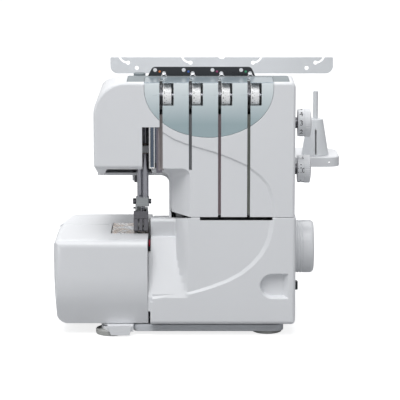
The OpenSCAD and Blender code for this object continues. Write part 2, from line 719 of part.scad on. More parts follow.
// Looper cover, grown smaller by i, with the scoop at its upper left
module looper_block(i) {
    top = split_z - 0.6;
    low = skirt_z - 0.4;
    difference() {
        intersection() {
            front_view([i, looper_depth + (i > 1 ? past : 0)])
                soft_square([looper_left + i, cover_right - i], [low + i, top - i], [0, 6 - i, 0, 0]);
            side_view([-100, 120]) polygon(concat(arc(5, low + 5, 5 - i, 180, 270),
                [[40, low + i], [40, top - 4.3 - i], [15, top - i], [i, top - i]]));
        }
        intersection() {
            side_view([looper_left - 1, 0]) polygon([[-1, 44 - i * 1.5], [i, 46 - i * 1.2], [27 + i * 0.7, 110.5 - i],
                [31.5 + i, 111 - i], [28 + i, ledge_z - i], [40, ledge_z - i], [40, 200], [-1, 200]]);
            plan_view([30, 200]) polygon([[looper_left - 1, -1], [column_crease + i, -1],
                [column_crease + i, 0], [column_crease - 17 + i, 28 + i], [column_crease - 21 + i, 40],
                [looper_left - 1, 40]]);
        }
        // the top edge slopes down toward the back above the scoop
        side_view([looper_left - 1, column_crease + i]) polygon([[-1, top - i], [i, top - i],
            [28 + i, ledge_z - i], [40, ledge_z - i], [40, 200], [-1, 200]]);
    }
}

module looper_cover() color(white) placed() difference() {
    union() {
        difference() {
            looper_block(0);
            looper_block(wall);
        }
        // cup behind the thumb recess
        block([63, 99.5], [0.1, 11], [43, 76]);
        // lip in the gap beside the cloth plate
        side_view([looper_left - 2.5, looper_left + 1])
            polygon([[2, 30], [6, 30], [6, 46], [27, 94], [22, 94], [2, 46]]);
        // pivot lugs
        for (x = [looper_left + wall, cover_in - 3])
            bar_x([x, x + 3], [pivot_y, pivot_z], 6);
    }
    // thumb recess, round at the left
    front_view([-past, 8]) {
        translate([79.5, 59.5]) circle(14);
        translate([79.5, 45.5]) square([17, 28]);
    }
    // lowered middle of the top edge
    block([-2.3, 79.2], [-past, looper_depth + past], [split_z - 3.9, split_z + past]);
    // shallow field bounded by the sweep
    front_view([-past, 1]) intersection() {
        polygon(concat([[-58.5, 142]], [for (a = [270:6:360]) [-58.5 + 142 * cos(a), 142 + 93.5 * sin(a)]]));
        translate([column_crease, 40]) square([120, 120]);
    }
    bar_x([looper_left - past, cover_right - 0.8], [pivot_y, pivot_z], pivot_r + fit);
    // the floor is a lip, notched for the ears
    block([looper_left + wall, cover_in], [10, looper_depth + past], [10, 18]);
    block([looper_left - past, cover_right + past], [33, looper_depth + past], [10, 22]);
    for (x = [[-53.5, -36.5], [68.5, 85.5]])
        block(x, [wall, 12], [skirt_z - past, 30]);
}

module cover_rod() color(steel) placed() bar_x([looper_left + wall, cover_in], [pivot_y, pivot_z], pivot_r);

// ---- Electrical pieces on the right side ----

module power_switch() color("black") placed() {
    block([99, body_right + 1.2], [52.2, 67.8], [43, 52.6]);
    side_view([body_right + 1.2, body_right + 2.4]) soft_square([52.2, 60], [43, 52.6], [0.6, 0.6, 0.6, 0.6]);
    bar_z([42.6, 52.9], [102.5, side_y], 1.2);
}

module inlet_socket() color("black") placed() difference() {
    block([92.5, body_right + 0.8], [106, 128], [37.5, 54.5]);
    block([94.5, body_right + past], [108.5, 125.5], [40, 52]);
    for (y = [112, 122])
        bar_x([92.6, 95], [y, 46], 1.5);
}

// ---- Thread stand ----

module spool_tray() color(white) placed() difference() {
    union() {
        difference() {
            plan_view([tray_z - 12, tray_z])
                soft_square([stand_x - 143.3, stand_x + 143.3], [190, depth], [14, 14, 24, 24]);
            plan_view([tray_z - 13, tray_z - wall])
                soft_square([stand_x - 140.8, stand_x + 140.8], [192.5, depth - 2.5], [12, 12, 21, 21]);
        }
        bar_z([tray_z - 12, tray_z], [stand_x, stand_rod_y], 9);
        // bracket into the back of the body
        block([stand_x - 26, stand_x + 26], [164, 200], [151, 156]);
        block([stand_x - 26, stand_x + 26], [190, 200], [151, tray_z - wall]);
    }
    bar_z([tray_z - 13, tray_z + past], [stand_x, stand_rod_y], 6);
    for (x = pins)
        bar_z([tray_z - wall - past, tray_z + past], [x, stand_y], root_r);
}

module spool_pins() color("gainsboro") placed() for (x = pins) {
    bar_z([tray_z - wall, cone_top], [x, stand_y], root_r);
    bar_z([cone_top, 253.4], [x, stand_y], pin_r);
    bar_z([tray_z - wall - 3, tray_z - wall], [x, stand_y], 8);
}

// Cone holders: thin frustums on the pins, slit up their sides
module cone_holders() color("gainsboro") placed() for (x = pins) translate([x, stand_y, tray_z])
    difference() {
        rotate_extrude() polygon([[root_r, 0], [16.5, 0], [16.5, 2], [9.2, cone_top - tray_z],
            [root_r, cone_top - tray_z]]);
        rotate_extrude() polygon([[root_r + 1.5, -past], [14, -past], [14, 1], [8, 36], [root_r + 1.5, 36]]);
        for (a = [0:90:270])
            rotate([0, 0, a]) translate([-1, root_r + 1.5, 2]) cube([2, 14, 30]);
    }

module stand_tube() color(steel) placed() difference() {
    bar_z([tray_z - 12, 258], [stand_x, stand_rod_y], 6);
    bar_z([tray_z - 9, 259], [stand_x, stand_rod_y], 5);
}

module stand_sleeve() color(steel) placed() difference() {
    union() {
        bar_z([tray_z - 8, 258.4], [stand_x, stand_rod_y], 5 - fit);
        bar_z([258.4, 264], [stand_x, stand_rod_y], 5.9);
    }
    bar_z([tray_z - 6, 265], [stand_x, stand_rod_y], 3.5);
}

module stand_rod() color(steel) placed() bar_z([tray_z - 5, 276], [stand_x, stand_rod_y], 3.5 - fit);

// The slot of a thread hole at (x, z): a hook that rises to the top edge on side s
module hook_slot(x, z, s) {
    translate([x, z]) circle(2.5);
    polygon(concat([for (a = [270:-7:200]) [x + s * 9.8 * cos(a), z + 11 + 9.8 * sin(a)]],
        [for (a = [200:7:270]) [x + s * 12.2 * cos(a), z + 11 + 12.2 * sin(a)]]));
}

module guide_bar() color("gainsboro") placed() difference() {
    union() {
        front_view([guide_y, guide_y + 2.4])
            soft_square([stand_x - 135.8, stand_x + 135.8], [273, 292.8], [9, 9, 1, 1]);
        bar_z([266, 278], [stand_x, stand_rod_y], 5.6);
        block([stand_x - 5, stand_x + 5], [stand_rod_y, guide_y + 1], [273, 278]);
    }
    bar_z([265, 276], [stand_x, stand_rod_y], 3.5 - fit);
    front_view([guide_y - 2, guide_y + 4]) {
        for (i = [0:3])
            hook_slot(pins[i], 286.2, i < 2 ? 1 : -1);
        for (s = [-1, 1])
            translate([stand_x + s * 103.6, 279.8]) circle(2.5);
        translate([stand_x, 295.6]) circle(5);
    }
}

base_plate();
front_leg();
rubber_feet();
inner_frame();
case_screws();
front_cover();
rear_cover();
rear_bed();
top_cover();
tension_cover();
guide_plate();
colour_dots();
thread_guides();
tension_rail();
tension_spindle();
tension_discs();
tension_dial_1();
tension_dial_2();
tension_dial_3();
tension_dial_4();
pressure_knob();
bushes();
needle_bar();
needle_clamp();
clamp_screws();
needles();
presser_bar();
presser_spring();
presser_ankle();
presser_foot();
lifter_lever();
needle_plate();
feed_dogs();
lower_knife();
knife_arm();
lower_looper();
upper_looper();
needle_rocker();
main_shaft();
shaft_pulley();
handwheel();
drive_belt();
motor_pulley();
motor();
stitch_dial();
feed_dial();
dial_spindles();
cloth_plate();
hinge_pin();
looper_cover();
cover_rod();
power_switch();
inlet_socket();
spool_tray();
spool_pins();
cone_holders();
stand_tube();
stand_sleeve();
stand_rod();
guide_bar();
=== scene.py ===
"""Serger overlock machine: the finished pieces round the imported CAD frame.

Shapes are drawn in millimetres, X to the right, Y back from the front plane and Z up from
the floor, and set about the middle of the machine's depth when they are placed.
"""

import logging
import math
from dataclasses import dataclass
from enum import Enum
from functools import lru_cache
from typing import Callable, Optional, Sequence, Union

import bmesh
import bpy
from mathutils import Matrix, Vector


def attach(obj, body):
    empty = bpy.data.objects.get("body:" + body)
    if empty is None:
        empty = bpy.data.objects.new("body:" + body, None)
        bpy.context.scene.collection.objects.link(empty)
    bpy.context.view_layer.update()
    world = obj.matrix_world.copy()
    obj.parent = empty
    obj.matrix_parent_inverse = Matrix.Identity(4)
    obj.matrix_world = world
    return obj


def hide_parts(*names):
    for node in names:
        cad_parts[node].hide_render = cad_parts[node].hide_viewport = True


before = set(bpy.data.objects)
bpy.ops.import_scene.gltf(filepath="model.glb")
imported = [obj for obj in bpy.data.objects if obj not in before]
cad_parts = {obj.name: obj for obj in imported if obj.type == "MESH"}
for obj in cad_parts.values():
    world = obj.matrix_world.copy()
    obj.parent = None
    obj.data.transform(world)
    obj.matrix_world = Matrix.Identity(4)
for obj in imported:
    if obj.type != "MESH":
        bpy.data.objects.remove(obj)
log = logging.getLogger("serger")

Point = tuple[float, float]
Span = tuple[float, float]
Colour = tuple[float, float, float]

HALF_DEPTH = 131.0
METRE = 0.001
PAST = 1.0
WELD = 0.0008
DIAL_Y = 60.0
SWEEP_SMOOTH = 12.5
SLOTS = [-45.6 + 32.57 * i for i in range(4)]
SLOT_HALF = 1.7
SHAFT = (70.0, 91.0)
HINGE = (-158.0, 80.0)
STAND_X = 24.2
PINS = [STAND_X + 76.2 * i for i in (-1.5, -0.5, 0.5, 1.5)]


def polar(cx: float, cy: float, r: float, degrees: float) -> Point:
    """The point at a radius and an angle from a centre."""
    return (cx + r * math.cos(math.radians(degrees)), cy + r * math.sin(math.radians(degrees)))


def arc(cx: float, cy: float, r: float, start: float, end: float, steps: int = 12) -> list[Point]:
    """The points of an arc about a centre, from one angle in degrees to another."""
    return [polar(cx, cy, r, start + (end - start) * i / steps) for i in range(steps + 1)]


def soft_rectangle(x: Span, y: Span, radii: Sequence[float], steps: int = 8) -> list[Point]:
    """Outline of a rectangle with its own radius at each corner.

    Args:
        x, y: limits.
        radii: corner radii from low left, round by low right.
        steps: chords in each corner.

    Returns:
        The outline's points, anticlockwise.
    """
    corners = [(x[0] + radii[0], y[0] + radii[0], 180), (x[1] - radii[1], y[0] + radii[1], 270),
               (x[1] - radii[2], y[1] - radii[2], 0), (x[0] + radii[3], y[1] - radii[3], 90)]
    outline: list[Point] = []
    for (cx, cy, start), r in zip(corners, radii):
        outline += arc(cx, cy, r, start, start + 90, steps) if r > 0 else [(cx, cy)]
    return outline


def about(middle: float, half: float) -> Span:
    """Limits at a distance to each side of a middle."""
    return (middle - half, middle + half)


def near(value: float, target: float, slack: float = 0.06) -> bool:
    """Whether two lengths in millimetres are the same within a slack."""
    return abs(value - target) < slack


def anywhere(p: Vector) -> bool:
    """Passes every point."""
    return True


class View(Enum):
    """A drawing plane: the two axes it is drawn in, then the axis it is pulled along."""

    FRONT = (0, 2, 1)
    SIDE = (1, 2, 0)
    PLAN = (0, 1, 2)
    CROSS = (1, 0, 2)

    def point(self, u: float, v: float, w: float) -> Vector:
        """The point at u, v in this plane and w along its third axis."""
        place = dict(zip(self.value, (u, v, w)))
        return Vector((place[0], place[1], place[2]))


FRONT, SIDE, PLAN, CROSS = View


class Join(Enum):
    """How a second solid is combined with the first."""

    ADD = "UNION"
    CUT = "DIFFERENCE"
    COMMON = "INTERSECT"


class Form:
    """A solid being shaped, in millimetres. Each method that shapes it returns it."""

    def __init__(self) -> None:
        """Starts with nothing drawn."""
        self.mesh = bmesh.new()

    def outward(self) -> "Form":
        """Turns every face outward."""
        bmesh.ops.recalc_face_normals(self.mesh, faces=self.mesh.faces[:])
        return self

    def extrude(self, faces: list[bmesh.types.BMFace]) -> list[bmesh.types.BMVert]:
        """Pulls faces out into a closed solid and gives the far side's vertices."""
        grown = bmesh.ops.extrude_face_region(self.mesh, geom=faces, use_keep_orig=True)["geom"]
        return [item for item in grown if isinstance(item, bmesh.types.BMVert)]

    def prism(self, outline: Sequence[Point], span: Span, view: View = PLAN,
              far: Optional[Sequence[Point]] = None) -> "Form":
        """Pulls an outline along the third axis of its view.

        Args:
            outline: points in the view's two axes.
            span: limits along the third axis.
            view: drawing plane.
            far: outline of the far end, with as many points, where it differs.

        Returns:
            This form.
        """
        corners = [self.mesh.verts.new(view.point(u, v, span[0])) for u, v in outline]
        tops = self.extrude([self.mesh.faces.new(corners)])
        bmesh.ops.translate(self.mesh, verts=tops, vec=view.point(0, 0, span[1] - span[0]))
        for corner, (u, v) in zip(corners, far or ()):
            top = next(e.other_vert(corner) for e in corner.link_edges if e.other_vert(corner) in tops)
            top.co = view.point(u, v, span[1])
        return self.outward()

    def sheet(self, rows: Sequence[Sequence[Vector]], front: float) -> "Form":
        """Fills the space between a net of points and a plane in front of it.

        Args:
            rows: rows of points, all of one length.
            front: depth of the plane along Y.

        Returns:
            This form.
        """
        net = [[self.mesh.verts.new(point) for point in row] for row in rows]
        faces = [self.mesh.faces.new((low[i], low[i + 1], high[i + 1], high[i]))
                 for low, high in zip(net, net[1:]) for i in range(len(low) - 1)]
        for vert in self.extrude(faces):
            vert.co.y = front
        return self.outward()

    def block(self, x: Span, y: Span, z: Span) -> "Form":
        """Adds a box between limits along each axis."""
        middle, size = zip(*(((low + high) / 2, high - low) for low, high in (x, y, z)))
        place = Matrix.Translation(middle) @ Matrix.Diagonal((*size, 1))
        bmesh.ops.create_cube(self.mesh, size=1, matrix=place)
        return self

    def turned(self, profile: Sequence[Point], centre: Point, view: View = PLAN,
               closed: bool = False, steps: int = 64) -> "Form":
        """Spins a profile about the third axis of a view.

        Args:
            profile: points as radius and place along the axis.
            centre: the axis in the view's first two coordinates.
            view: the plane the axis stands on.
            closed: whether the profile is a closed ring clear of the axis.
            steps: number of facets round the axis.

        Returns:
            This form.
        """
        verts = [self.mesh.verts.new(view.point(centre[0] + r, centre[1], w)) for r, w in profile]
        before = set(self.mesh.verts) - set(verts)
        pairs = list(zip(verts, verts[1:])) + ([(verts[-1], verts[0])] if closed else [])
        edges = [self.mesh.edges.new(pair) for pair in pairs]
        bmesh.ops.spin(self.mesh, geom=verts + edges, cent=view.point(*centre, 0),
                       axis=view.point(0, 0, 1), dvec=(0, 0, 0), angle=math.tau, steps=steps,
                       use_merge=True, use_duplicate=False)
        grown = [v for v in self.mesh.verts if v not in before]
        bmesh.ops.remove_doubles(self.mesh, verts=grown, dist=0.0005)
        return self.outward()

    def bar(self, span: Span, centre: Point, r: float, view: View = PLAN, ease: float = 0.0,
            steps: int = 48) -> "Form":
        """Adds a round bar.

        Args:
            span: limits along the bar.
            centre: its axis in the view's first two coordinates.
            r: radius.
            view: the plane the bar stands on.
            ease: rounding of its ends.
            steps: number of facets round the bar.

        Returns:
            This form.
        """
        low, high = span
        half = ease * 0.35
        profile = [(0, low), (r - ease, low), (r - half, low + half), (r, low + ease), (r, high - ease),
                   (r - half, high - half), (r - ease, high), (0, high)]
        return self.turned(profile if ease else [(0, low), (r, low), (r, high), (0, high)], centre, view,
                           steps=steps)

    def node(self, name: str) -> "Form":
        """Adds a merged copy of a CAD node's mesh."""
        self.mesh.from_mesh(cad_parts[name].data)
        for vert in self.mesh.verts:
            vert.co = Vector((vert.co.x, vert.co.y + HALF_DEPTH * METRE, vert.co.z)) / METRE
        bmesh.ops.remove_doubles(self.mesh, verts=self.mesh.verts[:], dist=0.004)
        return self.flatten()

    def flatten(self) -> "Form":
        """Joins faces that lie in one plane."""
        edges = self.mesh.edges
        bmesh.ops.dissolve_degenerate(self.mesh, edges=edges[:], dist=WELD)
        bmesh.ops.dissolve_limit(self.mesh, angle_limit=math.radians(0.6), verts=self.mesh.verts[:],
                                 edges=edges[:])
        return self

    def merge(self, other: "Form") -> "Form":
        """Takes in another form that doesn't touch this one."""
        copy = bpy.data.meshes.new("scratch")
        other.mesh.to_mesh(copy)
        self.mesh.from_mesh(copy)
        bpy.data.meshes.remove(copy)
        return self

    def combine(self, how: Join, *tools: "Form") -> "Form":
        """Combines other solids with this one, one after another.

        Args:
            how: add, cut or keep what is common.
            tools: the other solids.

        Returns:
            This form.
        """
        for tool in tools:
            pair = []
            for form in (self, tool):
                data = bpy.data.meshes.new("scratch")
                form.mesh.to_mesh(data)
                pair.append(place_object("scratch", data))
            step = pair[0].modifiers.new("combine", "BOOLEAN")
            step.operation, step.object, step.solver = how.value, pair[1], "MANIFOLD"
            result = evaluated_mesh(pair[0])
            self.mesh.clear()
            self.mesh.from_mesh(result)
            for data in (pair[0].data, pair[1].data, result):
                bpy.data.meshes.remove(data)
            bmesh.ops.remove_doubles(self.mesh, verts=self.mesh.verts[:], dist=WELD)
        return self.flatten()

    def add(self, *tools: "Form") -> "Form":
        """Joins other solids to this one."""
        return self.combine(Join.ADD, *tools)

    def cut(self, *tools: "Form") -> "Form":
        """Cuts other solids out of this one."""
        return self.combine(Join.CUT, *tools)

    def soften(self, width: float, where: Callable[[Vector], bool] = anywhere, segments: int = 3) -> "Form":
        """Rounds the sharp edges whose middles pass a test.

        Args:
            width: radius of the rounding.
            where: test on the middle of an edge.
            segments: facets across the rounding.

        Returns:
            This form.
        """
        sharp = math.radians(28.0)
        chosen = [e for e in self.mesh.edges if len(e.link_faces) == 2 and e.calc_face_angle(0) > sharp
                  and where((e.verts[0].co + e.verts[1].co) / 2)]
        if chosen:
            bmesh.ops.bevel(self.mesh, geom=chosen, offset=width, offset_type="OFFSET", affect="EDGES",
                            segments=segments, profile=0.5, material=-1, clamp_overlap=False)
            bmesh.ops.dissolve_degenerate(self.mesh, edges=self.mesh.edges[:], dist=WELD)
        return self

    def turn(self, degrees: float, view: View, centre: Vector) -> "Form":
        """Turns the whole form about an axis of a view through a point."""
        bmesh.ops.rotate(self.mesh, verts=self.mesh.verts[:], cent=centre,
                         matrix=Matrix.Rotation(math.radians(degrees), 3, view.point(0, 0, 1)))
        return self

    def data(self, name: str) -> bpy.types.Mesh:
        """The form as a mesh in metres."""
        bmesh.ops.scale(self.mesh, verts=self.mesh.verts[:], vec=(METRE, METRE, METRE))
        data = bpy.data.meshes.new(name)
        self.mesh.to_mesh(data)
        self.mesh.free()
        return data

    def piece(self, name: str, body: str, finish: "Finish", slot: str, *replaced: str,
              smooth: float = 35.0) -> None:
        """Sets the form in place as a finished piece.

        Args:
            name: the piece's name.
            body: the CAD body it rides on.
            finish: its material.
            slot: not used.
            replaced: CAD nodes that it stands for.
            smooth: faces that meet at less than this angle are shaded as one.
        """
        bmesh.ops.translate(self.mesh, verts=self.mesh.verts[:], vec=(0, -HALF_DEPTH, 0))
        data = self.data(name)
        data.shade_smooth()
        data.set_sharp_from_angle(angle=math.radians(smooth))
        data.materials.append(finish.material())
        made = place_object(name, data)
        made.modifiers.new("weighted normals", "WEIGHTED_NORMAL").keep_sharp = True
        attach(made, body)
        if replaced:
            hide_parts(*replaced)
        log.info("%s: %d faces on %s", name, len(data.polygons), body)


def place_object(name: str, data: bpy.types.ID) -> bpy.types.Object:
    """A new object in the scene."""
    made = bpy.data.objects.new(name, data)
    bpy.context.scene.collection.objects.link(made)
    return made


def evaluated_mesh(item: bpy.types.Object) -> bpy.types.Mesh:
    """An object's mesh with its modifiers applied."""
    graph = bpy.context.evaluated_depsgraph_get()
    return bpy.data.meshes.new_from_object(item.evaluated_get(graph))


def block(x: Span, y: Span, z: Span) -> Form:
    """A new box between limits along each axis."""
    return Form().block(x, y, z)


def prism(outline: Sequence[Point], span: Span, view: View = PLAN, far: Optional[Sequence[Point]] = None) -> Form:
    """A new prism, with the arguments of Form.prism."""
    return Form().prism(outline, span, view, far)


def bar(span: Span, centre: Point, r: float, view: View = PLAN, ease: float = 0.0, steps: int = 48) -> Form:
    """A new round bar, with the arguments of Form.bar."""
    return Form().bar(span, centre, r, view, ease, steps)


def keep_nodes(finishes: dict[str, "Finish"]) -> None:
    """Gives the CAD nodes that stay in view their finishes."""
    for name, finish in finishes.items():
        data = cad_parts[name].data
        data.materials.clear()
        data.materials.append(finish.material())
        log.info("%s: CAD node kept", name)


def ease_node(node: str, name: str, body: str, finish: "Finish", slot: str, width: float,
              where: Callable[[Vector], bool] = anywhere, segments: int = 2) -> None:
    """Makes a piece of a CAD node with its sharp edges rounded.

    Args:
        node: the CAD node.
        name, body, finish, slot: as for Form.piece.
        width, where, segments: as for Form.soften.
    """
    Form().node(node).soften(width, where, segments).piece(name, body, finish, slot, node)


def numeral(text: str, height: float) -> Form:
    """A numeral as a thin solid, drawn in X and Y about the origin.

    Args:
        text: the figures.
        height: size of the type.

    Returns:
        The numeral's form.
    """
    curve = bpy.data.curves.new("numeral", "FONT")
    curve.body, curve.size, curve.resolution_u = text, height, 3
    curve.align_x, curve.align_y = "CENTER", "CENTER"
    flat = evaluated_mesh(place_object("numeral", curve))
    form = Form()
    mesh = form.mesh
    mesh.from_mesh(flat)
    bpy.data.curves.remove(curve)
    bpy.data.meshes.remove(flat)
    bmesh.ops.remove_doubles(mesh, verts=mesh.verts[:], dist=0.0005)
    bmesh.ops.dissolve_limit(mesh, angle_limit=0.01, verts=mesh.verts[:], edges=mesh.edges[:])
    bmesh.ops.translate(mesh, verts=form.extrude(mesh.faces[:]), vec=(0, 0, 0.12))
    return form.outward()


def wrap(flat: Form, x: float, centre: Point, r: float, degrees: float) -> Form:
    """Lays a form drawn in X and Y onto the rim of a wheel that turns about X.

    Args:
        flat: the form, with its height above the rim along Z.
        x: middle of the form across the rim.
        centre: the wheel's axis in Y and Z.
        r: radius of the rim.
        degrees: place round the rim, up from the front.

    Returns:
        The same form, bent.
    """
    for vert in flat.mesh.verts:
        angle = math.radians(degrees) + vert.co.y / r
        out = r + vert.co.z
        vert.co = Vector((x + vert.co.x, centre[0] - out * math.cos(angle), centre[1] + out * math.sin(angle)))
    return flat.outward()


# ---- Finishes ----

Value = Union["Signal", float]


def operator(operation: str, reflected: bool = False) -> Callable[["Signal", Value], "Signal"]:
    """A method that adds one Math node, with its two values swapped where it is reflected.

    Args:
        operation: the node's operation.
        reflected: whether the signal is the second value.

    Returns:
        The method.
    """
    def apply(signal: "Signal", other: Value) -> "Signal":
        """The signal and the other value through the Math node."""
        pair = (other, signal) if reflected else (signal, other)
        return signal.recipe.node("ShaderNodeMath", {"operation": operation}, dict(enumerate(pair)))
    return apply


class Signal:
    """A shader output with arithmetic: each operator adds its Math node."""

    def __init__(self, recipe: "Recipe", socket: bpy.types.NodeSocket) -> None:
        """Wraps a socket of a recipe."""
        self.recipe, self.socket = recipe, socket

    __add__, __radd__ = operator("ADD"), operator("ADD", True)
    __sub__, __rsub__ = operator("SUBTRACT"), operator("SUBTRACT", True)
    __mul__, __rmul__ = operator("MULTIPLY"), operator("MULTIPLY", True)
    __gt__, __lt__ = operator("GREATER_THAN"), operator("LESS_THAN")


class Recipe:
    """The node tree of a material or world being written."""

    def __init__(self, owner: Union[bpy.types.Material, bpy.types.World], output: str) -> None:
        """Starts an empty tree with its output node."""
        owner.use_nodes = True
        self.owner, self.tree = owner, owner.node_tree
        self.tree.nodes.clear()
        self.out = self.tree.nodes.new(output)

    def node(self, kind: str, settings: dict[str, object], inputs: dict[Union[str, int], object],
             output: Union[str, int] = 0) -> Signal:
        """Adds a node.

        Args:
            kind: the node's type.
            settings: its properties; "stops" sets a ramp's places and colours.
            inputs: values or links by socket.
            output: the socket wanted.

        Returns:
            That output.
        """
        made = self.tree.nodes.new(kind)
        for key, value in settings.items():
            if key == "stops":
                ramp = made.color_ramp.elements
                while len(ramp) < len(value):
                    ramp.new(0.5)
                for element, (place, colour) in zip(ramp, value):
                    element.position, element.color = place, (*colour, 1.0)
            else:
                setattr(made, key, value)
        for key, value in inputs.items():
            if isinstance(value, Signal):
                self.tree.links.new(value.socket, made.inputs[key])
            else:
                made.inputs[key].default_value = value
        return Signal(self, made.outputs[output])

    def place(self, scale: Sequence[float] = (1, 1, 1)) -> Signal:
        """Object coordinates through a Mapping node that stretches them."""
        where = self.node("ShaderNodeTexCoord", {}, {}, "Object")
        return self.node("ShaderNodeMapping", {}, {"Vector": where, "Scale": tuple(scale)})

    def axis(self, name: str) -> Signal:
        """One Object coordinate in metres."""
        return self.node("ShaderNodeSeparateXYZ", {}, {"Vector": self.place()}, name)

    def noise(self, scale: float, detail: float = 2.0, stretch: Sequence[float] = (1, 1, 1)) -> Signal:
        """Noise between zero and one with features of about 1/scale metres."""
        return self.node("ShaderNodeTexNoise", {}, {"Vector": self.place(stretch), "Scale": scale,
                                                    "Detail": detail, "Roughness": 0.55})

    def blend(self, factor: Value, low: Union[Signal, Colour], high: Union[Signal, Colour],
              how: str = "MIX") -> Signal:
        """Mixes two colours."""
        pair = [c if isinstance(c, Signal) else (*c, 1.0) for c in (low, high)]
        return self.node("ShaderNodeMix", {"data_type": "RGBA", "blend_type": how},
                         {0: factor, 6: pair[0], 7: pair[1]}, 2)

    def ramp(self, factor: Signal, low: float, high: float, stops: Sequence[tuple[float, Colour]],
             hard: bool = False) -> Signal:
        """Colours along a value.

        Args:
            factor: the value.
            low, high: where the ramp starts and ends.
            stops: places between zero and one, with their colours.
            hard: whether each colour runs unmixed up to the next.

        Returns:
            The colour.
        """
        share = self.node("ShaderNodeMapRange", {}, {"Value": factor, "From Min": low, "From Max": high})
        made = self.node("ShaderNodeValToRGB", {"stops": stops}, {"Fac": share})
        made.socket.node.color_ramp.interpolation = "CONSTANT" if hard else "LINEAR"
        return made

    def bands(self, axis: str, reach: Span, edges: Sequence[float], colours: Sequence[Colour]) -> Signal:
        """Plain colours between edges along an axis.

        Args:
            axis: X, Y or Z.
            reach: limits of the whole pattern in metres.
            edges: where one colour gives way to the next.
            colours: the colours, one more than the edges.

        Returns:
            The colour.
        """
        low, high = reach
        places = [0.0] + [(edge - low) / (high - low) for edge in edges]
        return self.ramp(self.axis(axis), low, high, list(zip(places, colours)), hard=True)

    def bump(self, height: Signal, depth: float) -> Signal:
        """A Bump node over a height between zero and one, depth metres deep."""
        return self.node("ShaderNodeBump", {}, {"Height": height, "Distance": depth, "Strength": 1.0})

    def close(self, shader: Signal) -> None:
        """Links a shader to the output."""
        self.tree.links.new(shader.socket, self.out.inputs["Surface"])

    def finish(self, colour: Signal, roughness: Value, normal: Signal, **more: object) -> bpy.types.Material:
        """Closes the tree with a Principled shader.

        Args:
            colour, roughness, normal: what the shader is given.
            more: its other sockets, with _ for each space in a name.

        Returns:
            The material.
        """
        inputs = {key.replace("_", " "): value for key, value in more.items()}
        self.close(self.node("ShaderNodeBsdfPrincipled", {}, {
            "Base Color": colour, "Roughness": roughness, "Normal": normal, **inputs}))
        return self.owner


def shade(colour: Colour, by: float) -> Colour:
    """A colour made lighter or darker by a factor."""
    return tuple(min(part * by, 1.0) for part in colour)


@dataclass(frozen=True)
class Finish:
    """A finish that makes its material once."""

    name: str

    @lru_cache(maxsize=None)
    def material(self) -> bpy.types.Material:
        """The material, made at the first call."""
        return self.mix(Recipe(bpy.data.materials.new(self.name), "ShaderNodeOutputMaterial"))

    def mix(self, recipe: Recipe) -> bpy.types.Material:
        """Writes the material's nodes."""
        raise NotImplementedError


@dataclass(frozen=True)
class Moulded(Finish):
    """Injection moulded plastic or rubber: faint clouding, a fine texture and uneven gloss."""

    colour: Colour
    roughness: float = 0.42
    grain: float = 2600.0
    grain_depth: float = 0.000012
    clouding: float = 0.025
    specular: float = 0.5

    def mix(self, recipe: Recipe) -> bpy.types.Material:
        """Colour from slow clouding, bump from the mould's grain."""
        cloud, grain, scuff = recipe.noise(9.0, 3.0), recipe.noise(self.grain, 1.0), recipe.noise(70.0, 4.0)
        colour = recipe.blend(cloud, shade(self.colour, 1 - self.clouding), shade(self.colour, 1 + self.clouding))
        colour = recipe.blend(scuff * 0.06, colour, shade(self.colour, 0.8))
        return recipe.finish(colour, self.roughness - 0.05 + scuff * 0.1, recipe.bump(grain, self.grain_depth),
                             Specular_IOR_Level=self.specular)


@dataclass(frozen=True)
class Metal(Finish):
    """Bare metal, brushed or turned along one axis."""

    colour: Colour
    roughness: float = 0.25
    stretch: tuple[float, float, float] = (1.0, 1.0, 12.0)
    streaks: float = 900.0
    contrast: float = 0.35
    depth: float = 0.000006

    def mix(self, recipe: Recipe) -> bpy.types.Material:
        """Streaks drive the colour, the roughness and a shallow bump."""
        streak = recipe.noise(self.streaks, 3.0, [1.0 / s for s in self.stretch])
        colour = recipe.blend(streak, shade(self.colour, 1 - self.contrast), shade(self.colour, 1 + self.contrast))
        colour = recipe.blend(recipe.noise(60.0, 4.0) * 0.3, colour, shade(self.colour, 0.6))
        return recipe.finish(colour, self.roughness - 0.06 + streak * 0.12, recipe.bump(streak, self.depth),
                             Metallic=1.0)


@dataclass(frozen=True)
class LayeredSteel(Finish):
    """Steel with light and shade painted in: a constant tone at each depth, white for a painted highlight and darker
    tones for painted shade.
    """

    depths: tuple[float, ...]
    tones: tuple[Colour, ...]

    def mix(self, recipe: Recipe) -> bpy.types.Material:
        """Painted light and shade as constant tones between the depths along Y, in metres, with brushed streaks."""
        streak = recipe.noise(700.0, 3.0, (1.0, 1.0, 0.1))
        # painted light and shade: the tone is set by depth, not by the steel itself
        base = recipe.bands("Y", (-0.13, -0.07), self.depths, self.tones)
        colour = recipe.blend(streak * 0.5, base, (0.3, 0.3, 0.32), "MULTIPLY")
        return recipe.finish(colour, 0.2 + streak * 0.1, recipe.bump(streak, 0.000006), Metallic=1.0)


@dataclass(frozen=True)
class PlateSteel(Finish):
    """Polished plate with curling grinding marks and warm stains."""

    def mix(self, recipe: Recipe) -> bpy.types.Material:
        """Curled bands from distorted rings, warm in places."""
        curl = recipe.node("ShaderNodeTexWave", {"wave_type": "RINGS", "rings_direction": "Z"},
                           {"Vector": recipe.place(), "Scale": 55.0, "Distortion": 9.0, "Detail": 2.0,
                            "Detail Scale": 1.4}, "Fac")
        metal = recipe.ramp(curl, 0.0, 1.0, [(0.0, (0.2, 0.21, 0.23)), (0.5, (0.55, 0.57, 0.6)),
                                            (1.0, (0.9, 0.92, 0.94))])
        tint = recipe.ramp(recipe.noise(75.0, 3.0), 0.42, 0.62, [
            (0.0, (1.0, 1.0, 1.0)), (0.5, (0.85, 0.7, 0.58)), (1.0, (0.55, 0.33, 0.2))])
        return recipe.finish(recipe.blend(0.8, metal, tint, "MULTIPLY"), 0.14 + curl * 0.16,
                             recipe.bump(curl, 0.00004), Metallic=1.0)


